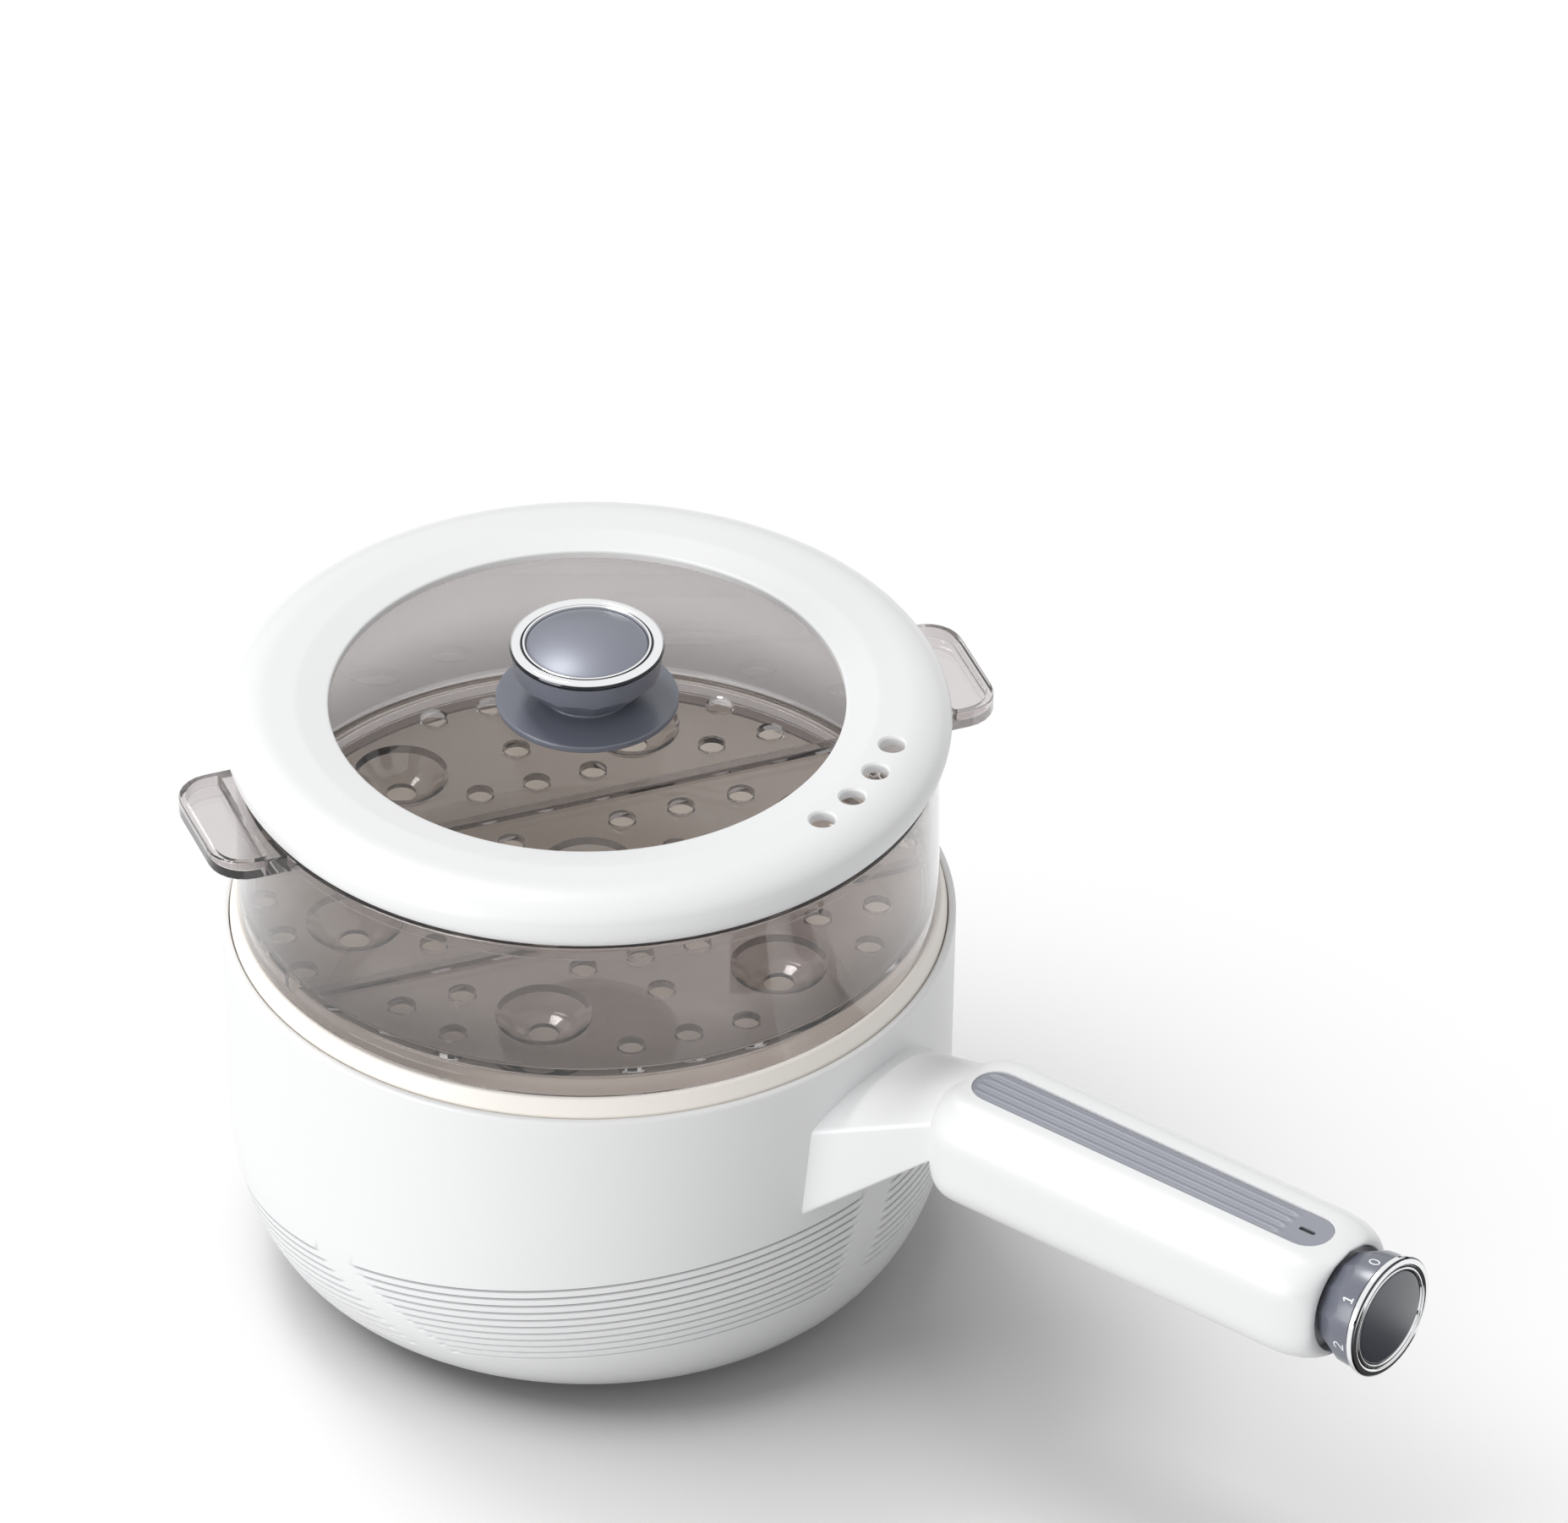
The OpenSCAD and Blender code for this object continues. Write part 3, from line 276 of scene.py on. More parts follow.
# Upright block with rounded rims: the outline shrinks by a quarter circle at its bottom and top
def block(outlineAt, low, high, edgeLow=0.0, edgeHigh=0.0):
    a = np.linspace(0, halfPi, edgeSteps + 1)
    inset = np.concatenate([edgeLow * (1 - np.sin(a)), edgeHigh * (1 - np.cos(a))])
    z = np.concatenate([low + edgeLow * (1 - np.cos(a)), high - edgeHigh * (1 - np.sin(a))])
    rings = np.stack([outlineAt(i) for i in inset])
    return gridMesh(spread(rings[..., 0], rings[..., 1], z[:, None]), caps=True)


# Rounded rectangle, shrunk by an inset; the two corners at x0 can have a radius of their own
def rectAt(x0, x1, y0, y1, radius, startRadius=None):
    def at(inset):
        a, b, c, d = x0 + inset, x1 - inset, y0 + inset, y1 - inset
        far = radius - inset
        near = far if startRadius is None else max(startRadius - inset, 0.05)
        return outline([(a, c, near), (b, c, far), (b, d, far), (a, d, near)])
    return at


# Several meshes as one
def joined(meshes):
    work = bmesh.new()
    for mesh in meshes:
        work.from_mesh(mesh)
    result = bpy.data.meshes.new("shape")
    work.to_mesh(result)
    work.free()
    return result


# Joins tool meshes to a mesh or cuts them from it, one after the other
def combined(mesh, operation, *tools):
    for tool in tools:
        things = [linked("work", data) for data in (mesh, tool)]
        change = things[0].modifiers.new("change", "BOOLEAN")
        change.operation = operation
        change.solver = "MANIFOLD"
        change.object = things[1]
        graph = bpy.context.evaluated_depsgraph_get()
        result = bpy.data.meshes.new_from_object(things[0].evaluated_get(graph))
        for thing in things:
            bpy.data.objects.remove(thing)
        if len(result.polygons) in (0, len(mesh.polygons)):
            raise RuntimeError("a tool mesh changed nothing: " + operation)
        mesh = result
    return mesh


# Makes a mesh a piece of the part: finish, smooth shading with hard edges kept, body
# and the nodes that it stands for; the slot argument is not used
def piece(name, mesh, finish, body, slot, *nodes, sharp=38, flatWeights=False):
    thing = linked(name, mesh)
    mesh.name = name
    mesh.materials.clear()
    mesh.materials.append(bpy.data.materials[finish])
    mesh.shade_smooth()
    mesh.set_sharp_from_angle(angle=math.radians(sharp))
    if flatWeights:
        weights = thing.modifiers.new("flatFirst", "WEIGHTED_NORMAL")
        weights.mode = "FACE_AREA"
        weights.weight = 90
        weights.keep_sharp = True
    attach(thing, body)
    if nodes:
        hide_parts(*nodes)
    print("piece:", name, len(mesh.polygons), "faces")


# Shared effects as node groups

# Fills inputs of a node from a dictionary of values and sockets
def fill(tree, node, inputs):
    for key, value in inputs.items():
        if isinstance(value, bpy.types.NodeSocket):
            tree.links.new(value, node.inputs[key])
        else:
            node.inputs[key].default_value = value
    return node


# Adds a node with its settings, then its inputs
def addNode(tree, kind, inputs=None, **settings):
    node = tree.nodes.new("ShaderNode" + kind)
    for key, value in settings.items():
        setattr(node, key, value)
    return fill(tree, node, inputs or {})


def groupNode(tree, group, inputs):
    return addNode(tree, "Group", inputs, node_tree=group).outputs


def mathNode(tree, operation, a, b=0.0):
    return addNode(tree, "Math", {0: a, 1: b}, operation=operation).outputs[0]


def noiseNode(tree, vector, scale, detail):
    return addNode(tree, "TexNoise", {"Vector": vector, "Scale": scale, "Detail": detail}).outputs["Fac"]


def colourMix(tree, share, first, second):
    return addNode(tree, "Mix", {"Factor": share, 6: first, 7: second}, data_type="RGBA").outputs[2]


def objectPlace(tree):
    return addNode(tree, "TexCoord").outputs["Object"]


# Change of a noise about its middle, times an amount
def swing(tree, noise, amount):
    return mathNode(tree, "MULTIPLY", mathNode(tree, "SUBTRACT", noise, 0.5), amount)


# A colour with its brightness times a value
def toned(tree, colour, value):
    return addNode(tree, "HueSaturation", {"Value": value, "Color": colour}).outputs["Color"]


# Share of the way that a value has gone from the low limit to the high one
def shareOf(tree, value, low, high, **settings):
    limits = {"Value": value, "From Min": low, "From Max": high}
    return addNode(tree, "MapRange", limits, **settings).outputs["Result"]


# Distance of a vector from its Z axis
def axisDistance(tree, vector):
    flat = addNode(tree, "VectorMath", {0: vector, 1: (1, 1, 0)}, operation="MULTIPLY").outputs["Vector"]
    return addNode(tree, "VectorMath", {0: flat}, operation="LENGTH").outputs["Value"]


# New group: an input is a number with its usual value, or the name of another kind of socket
def newGroup(name, inputs, outputs):
    group = bpy.data.node_groups.new(name, "ShaderNodeTree")
    for label, value in inputs.items():
        kind = value if isinstance(value, str) else "Float"
        socket = group.interface.new_socket(label, in_out="INPUT", socket_type="NodeSocket" + kind)
        if kind == "Float":
            socket.default_value = value
    for label in outputs:
        kind = "Color" if label == "Colour" else "Float"
        group.interface.new_socket(label, in_out="OUTPUT", socket_type="NodeSocket" + kind)
    return group, group.nodes.new("NodeGroupInput").outputs, group.nodes.new("NodeGroupOutput")


# Scale and detail of the noises, and the limits between which a film or the painted shade of a step shows
effectSet = {"broad": (14.0, 3.0), "patch": (60.0, 4.0), "grainDetail": 2.0, "film": (22.0, 5.0),
             "wave": (35.0, 1.0), "filmFrom": 0.52, "filmTo": 0.75, "stepFrom": 0.6, "stepTo": 1.0}
effect = named(effectSet)


# Moulded skin: broad change of tone, patches of gloss and a fine grain
def makeMouldGrain():
    group, given, result = newGroup(
        "mouldGrain", {"Colour": "Color", "Tone Change": 0.04, "Roughness": 0.35, "Gloss Change": 0.08,
                       "Grain Scale": 1400.0}, ("Colour", "Roughness", "Height"))
    place = objectPlace(group)
    tone = swing(group, noiseNode(group, place, *effect.broad), given["Tone Change"])
    gloss = swing(group, noiseNode(group, place, *effect.patch), given["Gloss Change"])
    fill(group, result, {
        "Colour": toned(group, given["Colour"], mathNode(group, "ADD", tone, 1.0)),
        "Roughness": mathNode(group, "ADD", given["Roughness"], gloss),
        "Height": noiseNode(group, place, given["Grain Scale"], effect.grainDetail)})
    return group


# Turned metal: fine rings round the Z axis of the given vector
def makeTurnedLines():
    group, given, result = newGroup(
        "turnedLines", {"Vector": "Vector", "Roughness": 0.08, "Gloss Change": 0.05, "Lines": 2200.0},
        ("Roughness", "Height"))
    radius = axisDistance(group, given["Vector"])
    noise = addNode(group, "TexNoise", {"W": radius, "Scale": given["Lines"]}, noise_dimensions="1D")
    rings = noise.outputs["Fac"]
    change = swing(group, rings, given["Gloss Change"])
    fill(group, result, {"Roughness": mathNode(group, "ADD", given["Roughness"], change), "Height": rings})
    return group


# Painted shade at the steps of a bright ring: two radii round the Z axis of the given vector at which the
# colour drops to a dark shade colour
def makeRingStepShade():
    group, given, result = newGroup(
        "ringStepShade", {"Vector": "Vector", "Colour": "Color", "Step Colour": "Color", "Inner Step": 0.01,
                      "Outer Step": 0.02, "Half Width": 0.0002}, ("Colour",))
    radius = axisDistance(group, given["Vector"])
    away = [mathNode(group, "ABSOLUTE", mathNode(group, "SUBTRACT", radius, given[label]))
            for label in ("Inner Step", "Outer Step")]
    near = mathNode(group, "DIVIDE", mathNode(group, "MINIMUM", *away), given["Half Width"])
    fade = shareOf(group, near, effect.stepFrom, effect.stepTo)
    fill(group, result, {"Colour": colourMix(group, fade, given["Step Colour"], given["Colour"])})
    return group


# Handling film on clear and glossy pieces: soft patches that are a little less smooth
def makeHandFilm():
    group, given, result = newGroup(
        "handFilm", {"Colour": "Color", "Film Tone": 0.03, "Roughness": 0.02, "Film": 0.03},
        ("Colour", "Roughness", "Height"))
    place = objectPlace(group)
    mask = shareOf(group, noiseNode(group, place, *effect.film), effect.filmFrom, effect.filmTo)
    tone = mathNode(group, "MULTIPLY", mask, given["Film Tone"])
    more = mathNode(group, "MULTIPLY", mask, given["Film"])
    fill(group, result, {
        "Colour": toned(group, given["Colour"], mathNode(group, "SUBTRACT", 1.0, tone)),
        "Roughness": mathNode(group, "ADD", given["Roughness"], more),
        "Height": noiseNode(group, place, *effect.wave)})
    return group


# Painted shade in a clear wall: the colour is deep just above the low height and fades out to the high one
def makeLowShadeFade():
    group, given, result = newGroup(
        "lowShadeFade", {"Colour": "Color", "Deep": "Color", "Low": 0.1, "High": 0.2}, ("Colour",))
    height = addNode(group, "SeparateXYZ", {0: objectPlace(group)}).outputs["Z"]
    fade = shareOf(group, height, given["Low"], given["High"], interpolation_type="SMOOTHSTEP")
    below = mathNode(group, "LESS_THAN", height, given["Low"])
    share = mathNode(group, "MAXIMUM", fade, below)
    fill(group, result, {"Colour": colourMix(group, share, given["Deep"], given["Colour"])})
    return group


mouldGrain = makeMouldGrain()
turnedLines = makeTurnedLines()
ringStepShade = makeRingStepShade()
handFilm = makeHandFilm()
lowShadeFade = makeLowShadeFade()
print("node groups made")


# Materials

# Depths of the bumps in metres, colour of the painted shade at ring steps, tints of clear edges and of their
# shade, and how far a ray goes into an edge
finishSet = {"grainDeep": 0.0002, "lineDeep": 0.0001, "waveDeep": 0.0005,
             "stepColour": (0.05, 0.052, 0.058, 1), "edgeTint": (0.36, 0.345, 0.345, 1), "shadeTint": 0.25,
             "glossyDepth": 1.5, "rayDepth": 8.5}
finishes = named(finishSet)


def newMaterial(name):
    material = bpy.data.materials.new(name)
    material.use_nodes = True
    tree = material.node_tree
    return material, tree, tree.nodes["Principled BSDF"]


# Roughness and bump from a group's outputs, and its colour where it has one
def skinInto(tree, shader, skin, bump, deep):
    normal = addNode(tree, "Bump", {"Strength": bump, "Distance": deep, "Height": skin["Height"]})
    fill(tree, shader, {"Roughness": skin["Roughness"], "Normal": normal.outputs["Normal"]})
    if "Colour" in skin:
        fill(tree, shader, {"Base Color": skin["Colour"]})


# Moulded or coated finish from the mouldGrain group; a deep colour, where given, is painted shade in grooves
def mouldedMaterial(name, colour, rough=0.35, tone=0.03, glossChange=0.08, grain=1400.0, bump=0.05, coat=0.0,
                    coatRough=0.1, deep=None):
    tree, shader = newMaterial(name)[1:]
    colour = (*colour, 1)
    # Painted shade: the colour goes towards deep as the grooveDepth attribute rises
    if deep:
        depth = addNode(tree, "Attribute", attribute_name="grooveDepth").outputs["Fac"]
        colour = colourMix(tree, depth, colour, (*deep, 1))
    skin = groupNode(tree, mouldGrain, {"Colour": colour, "Tone Change": tone, "Roughness": rough,
                                        "Gloss Change": glossChange, "Grain Scale": grain})
    skinInto(tree, shader, skin, bump, finishes.grainDeep)
    fill(tree, shader, {"Coat Weight": coat, "Coat Roughness": coatRough})


# Turned metal from the turnedLines group, its rings centred by a Mapping node
def metalMaterial(name, colour, rough, change, lines, centre=(0, 0, 0), turn=(0, 0, 0), bump=0.02,
                  steps=None):
    tree, shader = newMaterial(name)[1:]
    mapping = addNode(tree, "Mapping", {"Vector": objectPlace(tree), "Location": centre, "Rotation": turn},
                      vector_type="TEXTURE").outputs["Vector"]
    skin = groupNode(tree, turnedLines, {"Vector": mapping, "Roughness": rough, "Gloss Change": change,
                                         "Lines": lines})
    colour = (*colour, 1)
    # Painted shade: dark lines at the steps' radii, where the ring's grooves are
    if steps:
        inner, outer, half = np.array(steps) * mm
        colour = groupNode(tree, ringStepShade, {
            "Vector": mapping, "Colour": colour, "Step Colour": finishes.stepColour, "Inner Step": inner,
            "Outer Step": outer, "Half Width": half})["Colour"]
    skinInto(tree, shader, skin, bump, finishes.lineDeep)
    fill(tree, shader, {"Base Color": colour, "Metallic": 1.0})


def filmNode(tree, colour, rough, film, filmTone):
    return groupNode(tree, handFilm, {"Colour": (*colour, 1), "Film Tone": filmTone, "Roughness": rough,
                                      "Film": film})


# Clear finish: refracts for the eye and lets tinted light through to what lies under it,
# and rays that have gone far into its edges go straight on with a grey tint
def clearMaterial(name, colour, ior, rough, film, filmTone, bump, coat=0.0, lowShade=None):
    tree, shader = newMaterial(name)[1:]
    skin = filmNode(tree, colour, rough, film, filmTone)
    skinInto(tree, shader, skin, bump, finishes.waveDeep)
    # Painted shade: the base colour is darker towards the bottom of the wall
    if lowShade:
        deep, low, high = lowShade
        faded = groupNode(tree, lowShadeFade, {"Colour": skin["Colour"], "Deep": (*deep, 1), "Low": low,
                                            "High": high})
        fill(tree, shader, {"Base Color": faded["Colour"]})
    fill(tree, shader, {"IOR": ior, "Transmission Weight": 1.0, "Coat Weight": coat})
    path = addNode(tree, "LightPath").outputs
    soft = mathNode(tree, "MAXIMUM", path["Is Shadow Ray"], path["Is Diffuse Ray"])
    tint = colourMix(tree, soft, finishes.edgeTint, (*np.power(colour, finishes.shadeTint), 1))
    clear = addNode(tree, "BsdfTransparent", {"Color": tint})
    mirrored = mathNode(tree, "GREATER_THAN", path["Glossy Depth"], finishes.glossyDepth)
    long = mathNode(tree, "GREATER_THAN", path["Ray Depth"], finishes.rayDepth)
    far = mathNode(tree, "MAXIMUM", mirrored, long)
    mix = addNode(tree, "MixShader", {0: mathNode(tree, "MAXIMUM", soft, far), 1: shader.outputs[0],
                                      2: clear.outputs[0]})
    fill(tree, tree.nodes["Material Output"], {"Surface": mix.outputs[0]})


# Glossy disc with the handling film
def glossMaterial(name, colour, rough, film, coat, coatRough, metal=0.0, filmTone=0.06, bump=0.02):
    tree, shader = newMaterial(name)[1:]
    skinInto(tree, shader, filmNode(tree, colour, rough, film, filmTone), bump, finishes.grainDeep)
    fill(tree, shader, {"Coat Weight": coat, "Coat Roughness": coatRough, "Metallic": metal})


whiteLook = {"colour": (0.86, 0.865, 0.87), "rough": 0.36, "tone": 0.02, "coat": 0.12, "coatRough": 0.2}
brightLook = {"colour": (0.86, 0.865, 0.875), "rough": 0.07, "change": 0.04, "lines": 2600.0}
mouldedMaterial("whitePlastic", **whiteLook)
# The housing's white with painted shade in its grooves
mouldedMaterial("groovedWhite", **whiteLook, deep=(0.36, 0.365, 0.38))
mouldedMaterial("coverPlastic", (0.72, 0.725, 0.735), rough=0.5, grain=2200.0, bump=0.12)
mouldedMaterial("potCoating", (0.95, 0.905, 0.845), rough=0.32, grain=2600.0, bump=0.06)
mouldedMaterial("slatePlastic", (0.15, 0.161, 0.2), rough=0.3, tone=0.05, coat=0.35, coatRough=0.16)
mouldedMaterial("inlayGrey", (0.30, 0.312, 0.36), rough=0.42, tone=0.04, grain=2000.0, bump=0.08)
mouldedMaterial("blackPlastic", (0.02, 0.02, 0.022), rough=0.42, bump=0.1)
mouldedMaterial("rubberSkin", (0.05, 0.05, 0.055), rough=0.75, tone=0.1, grain=3000.0, bump=0.25)
mouldedMaterial("ceramicSkin", (0.8, 0.76, 0.68), rough=0.5, bump=0.15)
mouldedMaterial("wireSkin", (0.34, 0.03, 0.025), rough=0.45)
mouldedMaterial("boardGreen", (0.03, 0.12, 0.05), rough=0.4)
mouldedMaterial("numberPaint", (0.85, 0.86, 0.88), rough=0.45)
# Both bright rings get painted shade lines at their grooves
metalMaterial("brightLidRing", **brightLook, steps=(17.62, 20.9, 0.24))
metalMaterial("brightDialRing", **brightLook, centre=(0, 0, handleZ * mm), turn=(0, halfPi, 0),
              steps=(14.62, 16.98, 0.24))
metalMaterial("plainSteel", (0.62, 0.62, 0.63), 0.3, 0.15, 1500.0)
metalMaterial("castPlate", (0.66, 0.66, 0.66), 0.45, 0.2, 800.0)
metalMaterial("stainedTube", (0.3, 0.2, 0.14), 0.4, 0.2, 900.0)
metalMaterial("brassPins", (0.78, 0.55, 0.22), 0.25, 0.1, 1800.0)
glossMaterial("lidCapGloss", (0.21, 0.222, 0.265), 0.46, 0.06, 0.5, 0.3, 0.6)
glossMaterial("dialCapGloss", (0.05, 0.055, 0.074), 0.34, 0.06, 1.0, 0.26)
glossMaterial("lampWindow", (0.004, 0.004, 0.005), 0.12, 0.05, 0.6, 0.05)
# The tray's walls carry painted shade, darker just above their bottom
clearMaterial("clearTray", (0.66, 0.625, 0.62), 1.40, 0.01, 0.03, 0.02, 0.01, 0.8,
              lowShade=((0.36, 0.34, 0.34), 0.1232, 0.147))
clearMaterial("lidPane", (0.80, 0.805, 0.805), 1.15, 0.004, 0.012, 0.01, 0.004)
print("materials made")

# Finish of the CAD nodes that stay as they are
nodeFinish = {
    "coverPlastic": ["base_cover"],
    "rubberSkin": ["rubber_feet", "rim_gasket", "lid_knob_washer"],
    "plainSteel": ["base_screws", "pot_stud", "clamp_bridge", "clamp_nut", "fuse_clip", "handle_screws",
                   "neck_screws", "switch_nut", "switch_shaft", "lid_knob_screw"],
    "castPlate": ["heating_plate"],
    "stainedTube": ["heater_tube"],
    "brassPins": ["heater_tabs", "inlet_pins"],
    "ceramicSkin": ["thermostat", "thermal_fuse", "terminal_block"],
    "wireSkin": ["wire_harness"],
    "blackPlastic": ["power_inlet", "rotary_switch"],
    "boardGreen": ["indicator_board"],
}
for look, names in nodeFinish.items():
    for name in names:
        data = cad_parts[name].data
        data.materials.clear()
        data.materials.append(bpy.data.materials[look])
print("CAD nodes finished")


# Outer housing with its tilted grooves

housingSet = {
    "columns": 540, "wall": 2.6, "draft": 1.2, "bellyTop": 51.0, "bellyRun": 25.4, "bellyDrop": 45.0,
    "openEdge": 3.4, "openRound": 0.5, "lipRound": 1.2, "lipWall": 2.1, "ledgeDrop": 5.8, "ledgeWidth": 2.0,
    "ledgeTall": 1.6, "shoulderDrop": 4.0, "grooves": 11, "groovePitch": 2.57, "grooveTop": 44.1,
    "grooveTilt": 15.2, "grooveHalf": 0.44, "grooveDepth": 1.0, "grooveSide": 0.6,
    "grooveRows": (1.0, 0.75, 0.4, 0.0, -0.4, -0.75, -1.0), "holdSoft": 1.5, "sideGap": -96.5,
    "sideGapStep": 1.75, "sideGapHalf": 3.4, "neckGapFrom": -2.5, "neckGapTo": 4.5, "neckGapFromStep": -0.6,
    "neckGapToStep": -0.65, "gapFade": 1.6, "edgeKeep": 2.0, "edgeStart": 0.6, "inletWide": 28.0,
    "inletTall": 15.0, "inletMid": 18.5, "inletFrame": 2.4, "inletOut": 94.5, "inletDeep": 16.0,
}
bellyCentre = lipR - housingSet["draft"] - housingSet["bellyRun"]


# Radius and outward normal of the housing's outside at a height:
# a straight drafted wall over a quarter ellipse
def housingWall(z):
    s = named(housingSet)
    upper = lipR - s.draft * (lipZ - z) / (lipZ - s.bellyTop)
    fall = np.clip((s.bellyTop - z) / s.bellyDrop, 0.0, 1.0)
    lower = bellyCentre + s.bellyRun * np.sqrt(1.0 - fall ** 2)
    low = z < s.bellyTop
    nr = np.where(low, (lower - bellyCentre) / s.bellyRun ** 2, 1.0)
    nz = np.where(low, -fall / s.bellyDrop, -s.draft / (lipZ - s.bellyTop))
    length = np.hypot(nr, nz)
    return np.where(low, lower, upper), nr / length, nz / length


# Points of the belly's quarter ellipse, shrunk by an inset: r = centre + run sin a, z = top - drop cos a
def bellyAt(a, inset=0.0):
    s = named(housingSet)
    r = bellyCentre + (s.bellyRun - inset) * np.sin(a)
    return np.stack([r, s.bellyTop - (s.bellyDrop - inset) * np.cos(a)], -1)


# Outside rows follow the grooves, which lie in tilted planes: height = level + tilt cos t,
# held above the bottom edge by a soft limit; each groove is a smooth-sided dip that fades out at its gaps
def housingOutside(t):
    s = named(housingSet)
    bottom = housingLow[2]
    angle = np.degrees(t)[None]
    rows = s.grooveHalf * np.array(s.grooveRows + (-0.5 * s.groovePitch / s.grooveHalf,))
    number = np.repeat(np.arange(s.grooves), len(rows))[:, None]
    offset = np.tile(rows, s.grooves)[:, None]
    level = s.grooveTop - s.groovePitch * number + offset
    z = level + s.grooveTilt * np.cos(t)[None]
    held = bottom + s.holdSoft * np.logaddexp(0.0, (z - bottom) / s.holdSoft)
    sideGap = np.abs(np.abs(angle) + s.sideGap + s.sideGapStep * number) - s.sideGapHalf
    neckFrom = s.neckGapFrom + s.neckGapFromStep * number
    neckTo = s.neckGapTo + s.neckGapToStep * number
    neckGap = np.maximum(neckFrom - angle, angle - neckTo)
    mask = smoothStep(sideGap / s.gapFade) * smoothStep(neckGap / s.gapFade)
    mask = mask * smoothStep((z - bottom) / s.edgeKeep - s.edgeStart)
    dip = smoothStep((1.0 - np.abs(offset) / s.grooveHalf) / s.grooveSide)
    radius, nr, nz = housingWall(held)
    depth = s.grooveDepth * dip * mask
    grooved = np.stack([radius - depth * nr, held - depth * nz], -1)
    wallTop = lipZ - s.lipRound
    upperZ = wallTop + (held[:1] - wallTop) * np.linspace(0, 1, 15)[:-1, None]
    upper = np.stack([housingWall(upperZ)[0], upperZ], -1)
    last = np.arccos(np.clip((s.bellyTop - held[-1:]) / s.bellyDrop, -1, 1))
    lower = bellyAt(last * (1 - np.linspace(0, 1, 13)[1:, None]))
    return np.concatenate([upper, grooved, lower])[::-1]


# Inside outline: rounded lip, ledge for the pot's rim, belly at the wall's thickness, open bottom
def housingInside():
    s = named(housingSet)
    bottom = housingLow[2]
    openR = bellyCentre - s.openEdge
    lipIn = lipR - s.lipWall
    ledgeZ = lipZ - s.ledgeDrop
    ledgeR = lipIn - s.ledgeWidth
    shoulderZ = ledgeZ - s.shoulderDrop
    a = np.linspace(0, halfPi, 7)[1:]
    lip = np.stack([lipR - s.lipRound + s.lipRound * np.cos(a),
                    lipZ - s.lipRound + s.lipRound * np.sin(a)], -1)
    ledge = outline([(lip[-1][0], lipZ), (lipIn, lipZ, 0.6), (lipIn, ledgeZ, 0.2), (ledgeR, ledgeZ, 0.3),
                     (ledgeR, ledgeZ - s.ledgeTall, 0.2),
                     (housingWall(np.array(shoulderZ))[0] - s.wall, shoulderZ)], steps=3, closed=False)
    belly = bellyAt(np.linspace(halfPi, 0, 14), s.wall)
    foot = np.array([[openR, bottom + s.wall], [openR, bottom + s.openRound], [openR + s.openRound, bottom]])
    return np.concatenate([lip, ledge[1:], belly, foot])


def makeHousing():
    s = named(housingSet)
    t = np.linspace(-np.pi, np.pi, s.columns, endpoint=False)
    inside = np.repeat(housingInside()[:, None], s.columns, 1)
    rz = np.concatenate([housingOutside(t), inside])
    mesh = gridMesh(polar(rz[..., 0], t, rz[..., 1]), closeRows=True)

    # Block of the inlet's opening with a margin round it
    def inletBlock(margin, radius, *heights):
        half = s.inletWide / 2 + margin
        rise = s.inletTall / 2 + margin
        shape = block(rectAt(-half, half, s.inletMid - rise, s.inletMid + rise, radius), *heights)
        return sideways(shape, s.inletOut - s.inletDeep)

    mesh = combined(mesh, "UNION", inletBlock(s.inletFrame, 3.2, 0.0, s.inletDeep, 0.2, 1.2))
    mesh = combined(mesh, "DIFFERENCE", inletBlock(0.0, 1.2, -30.0, 40.0))
    # How deep each point lies under the smooth wall, as a share of the groove depth; the material paints
    # shade into the grooves by it
    x, y, z = pointsOf(mesh).T
    radius, nr = housingWall(z)[:2]
    under = (radius - np.hypot(x, y)) * nr / s.grooveDepth
    onWall = (under < 1.2) & (z > housingLow[2] + 0.4) & (z < s.bellyTop + 12.0)
    shade = np.clip(np.where(onWall, under, 0.0), 0, 1)
    mesh.attributes.new("grooveDepth", "FLOAT", "POINT").data.foreach_set("value", shade)
    piece("outerHousing", mesh, "groovedWhite", "base", "white_plastic", "outer_housing", sharp=50)


makeHousing()


# Inner pot, one turned shell with a rolled rim

potSet = {"wall": 2.0, "round": 30.0, "lowR": 89.9, "topR": 95.4, "seat": 105.4, "rimTop": 1.9,
          "rimSlope": 1.5}


def makePot():
    s = named(potSet)
    rimR = potHigh[0]
    floor = potLow[2]
    topR = rimR - s.rimSlope
    path = outline([
        (0, floor), (s.lowR, floor, s.round), (s.topR, s.seat - 1.2, 0.2), (s.topR, s.seat, 0.2),
        (rimR, s.seat, 0.5), (rimR, lipZ + 0.4, 1.6), (topR, rimZ, 0.9), (topR - s.rimTop, rimZ, 0.9),
        (s.topR - s.wall, s.seat - 2.0, 3.0), (s.lowR - s.wall, floor + s.wall, s.round - s.wall),
        (0, floor + s.wall)], steps=14, closed=False)
    pot = turned(path, 256, False, 4.0)
    piece("innerPot", pot, "potCoating", "base", "pot_coating", "inner_pot", sharp=50)


makePot()


# Handle: a tapered neck with crisp edges, and a rounded grip with a recess for the dial

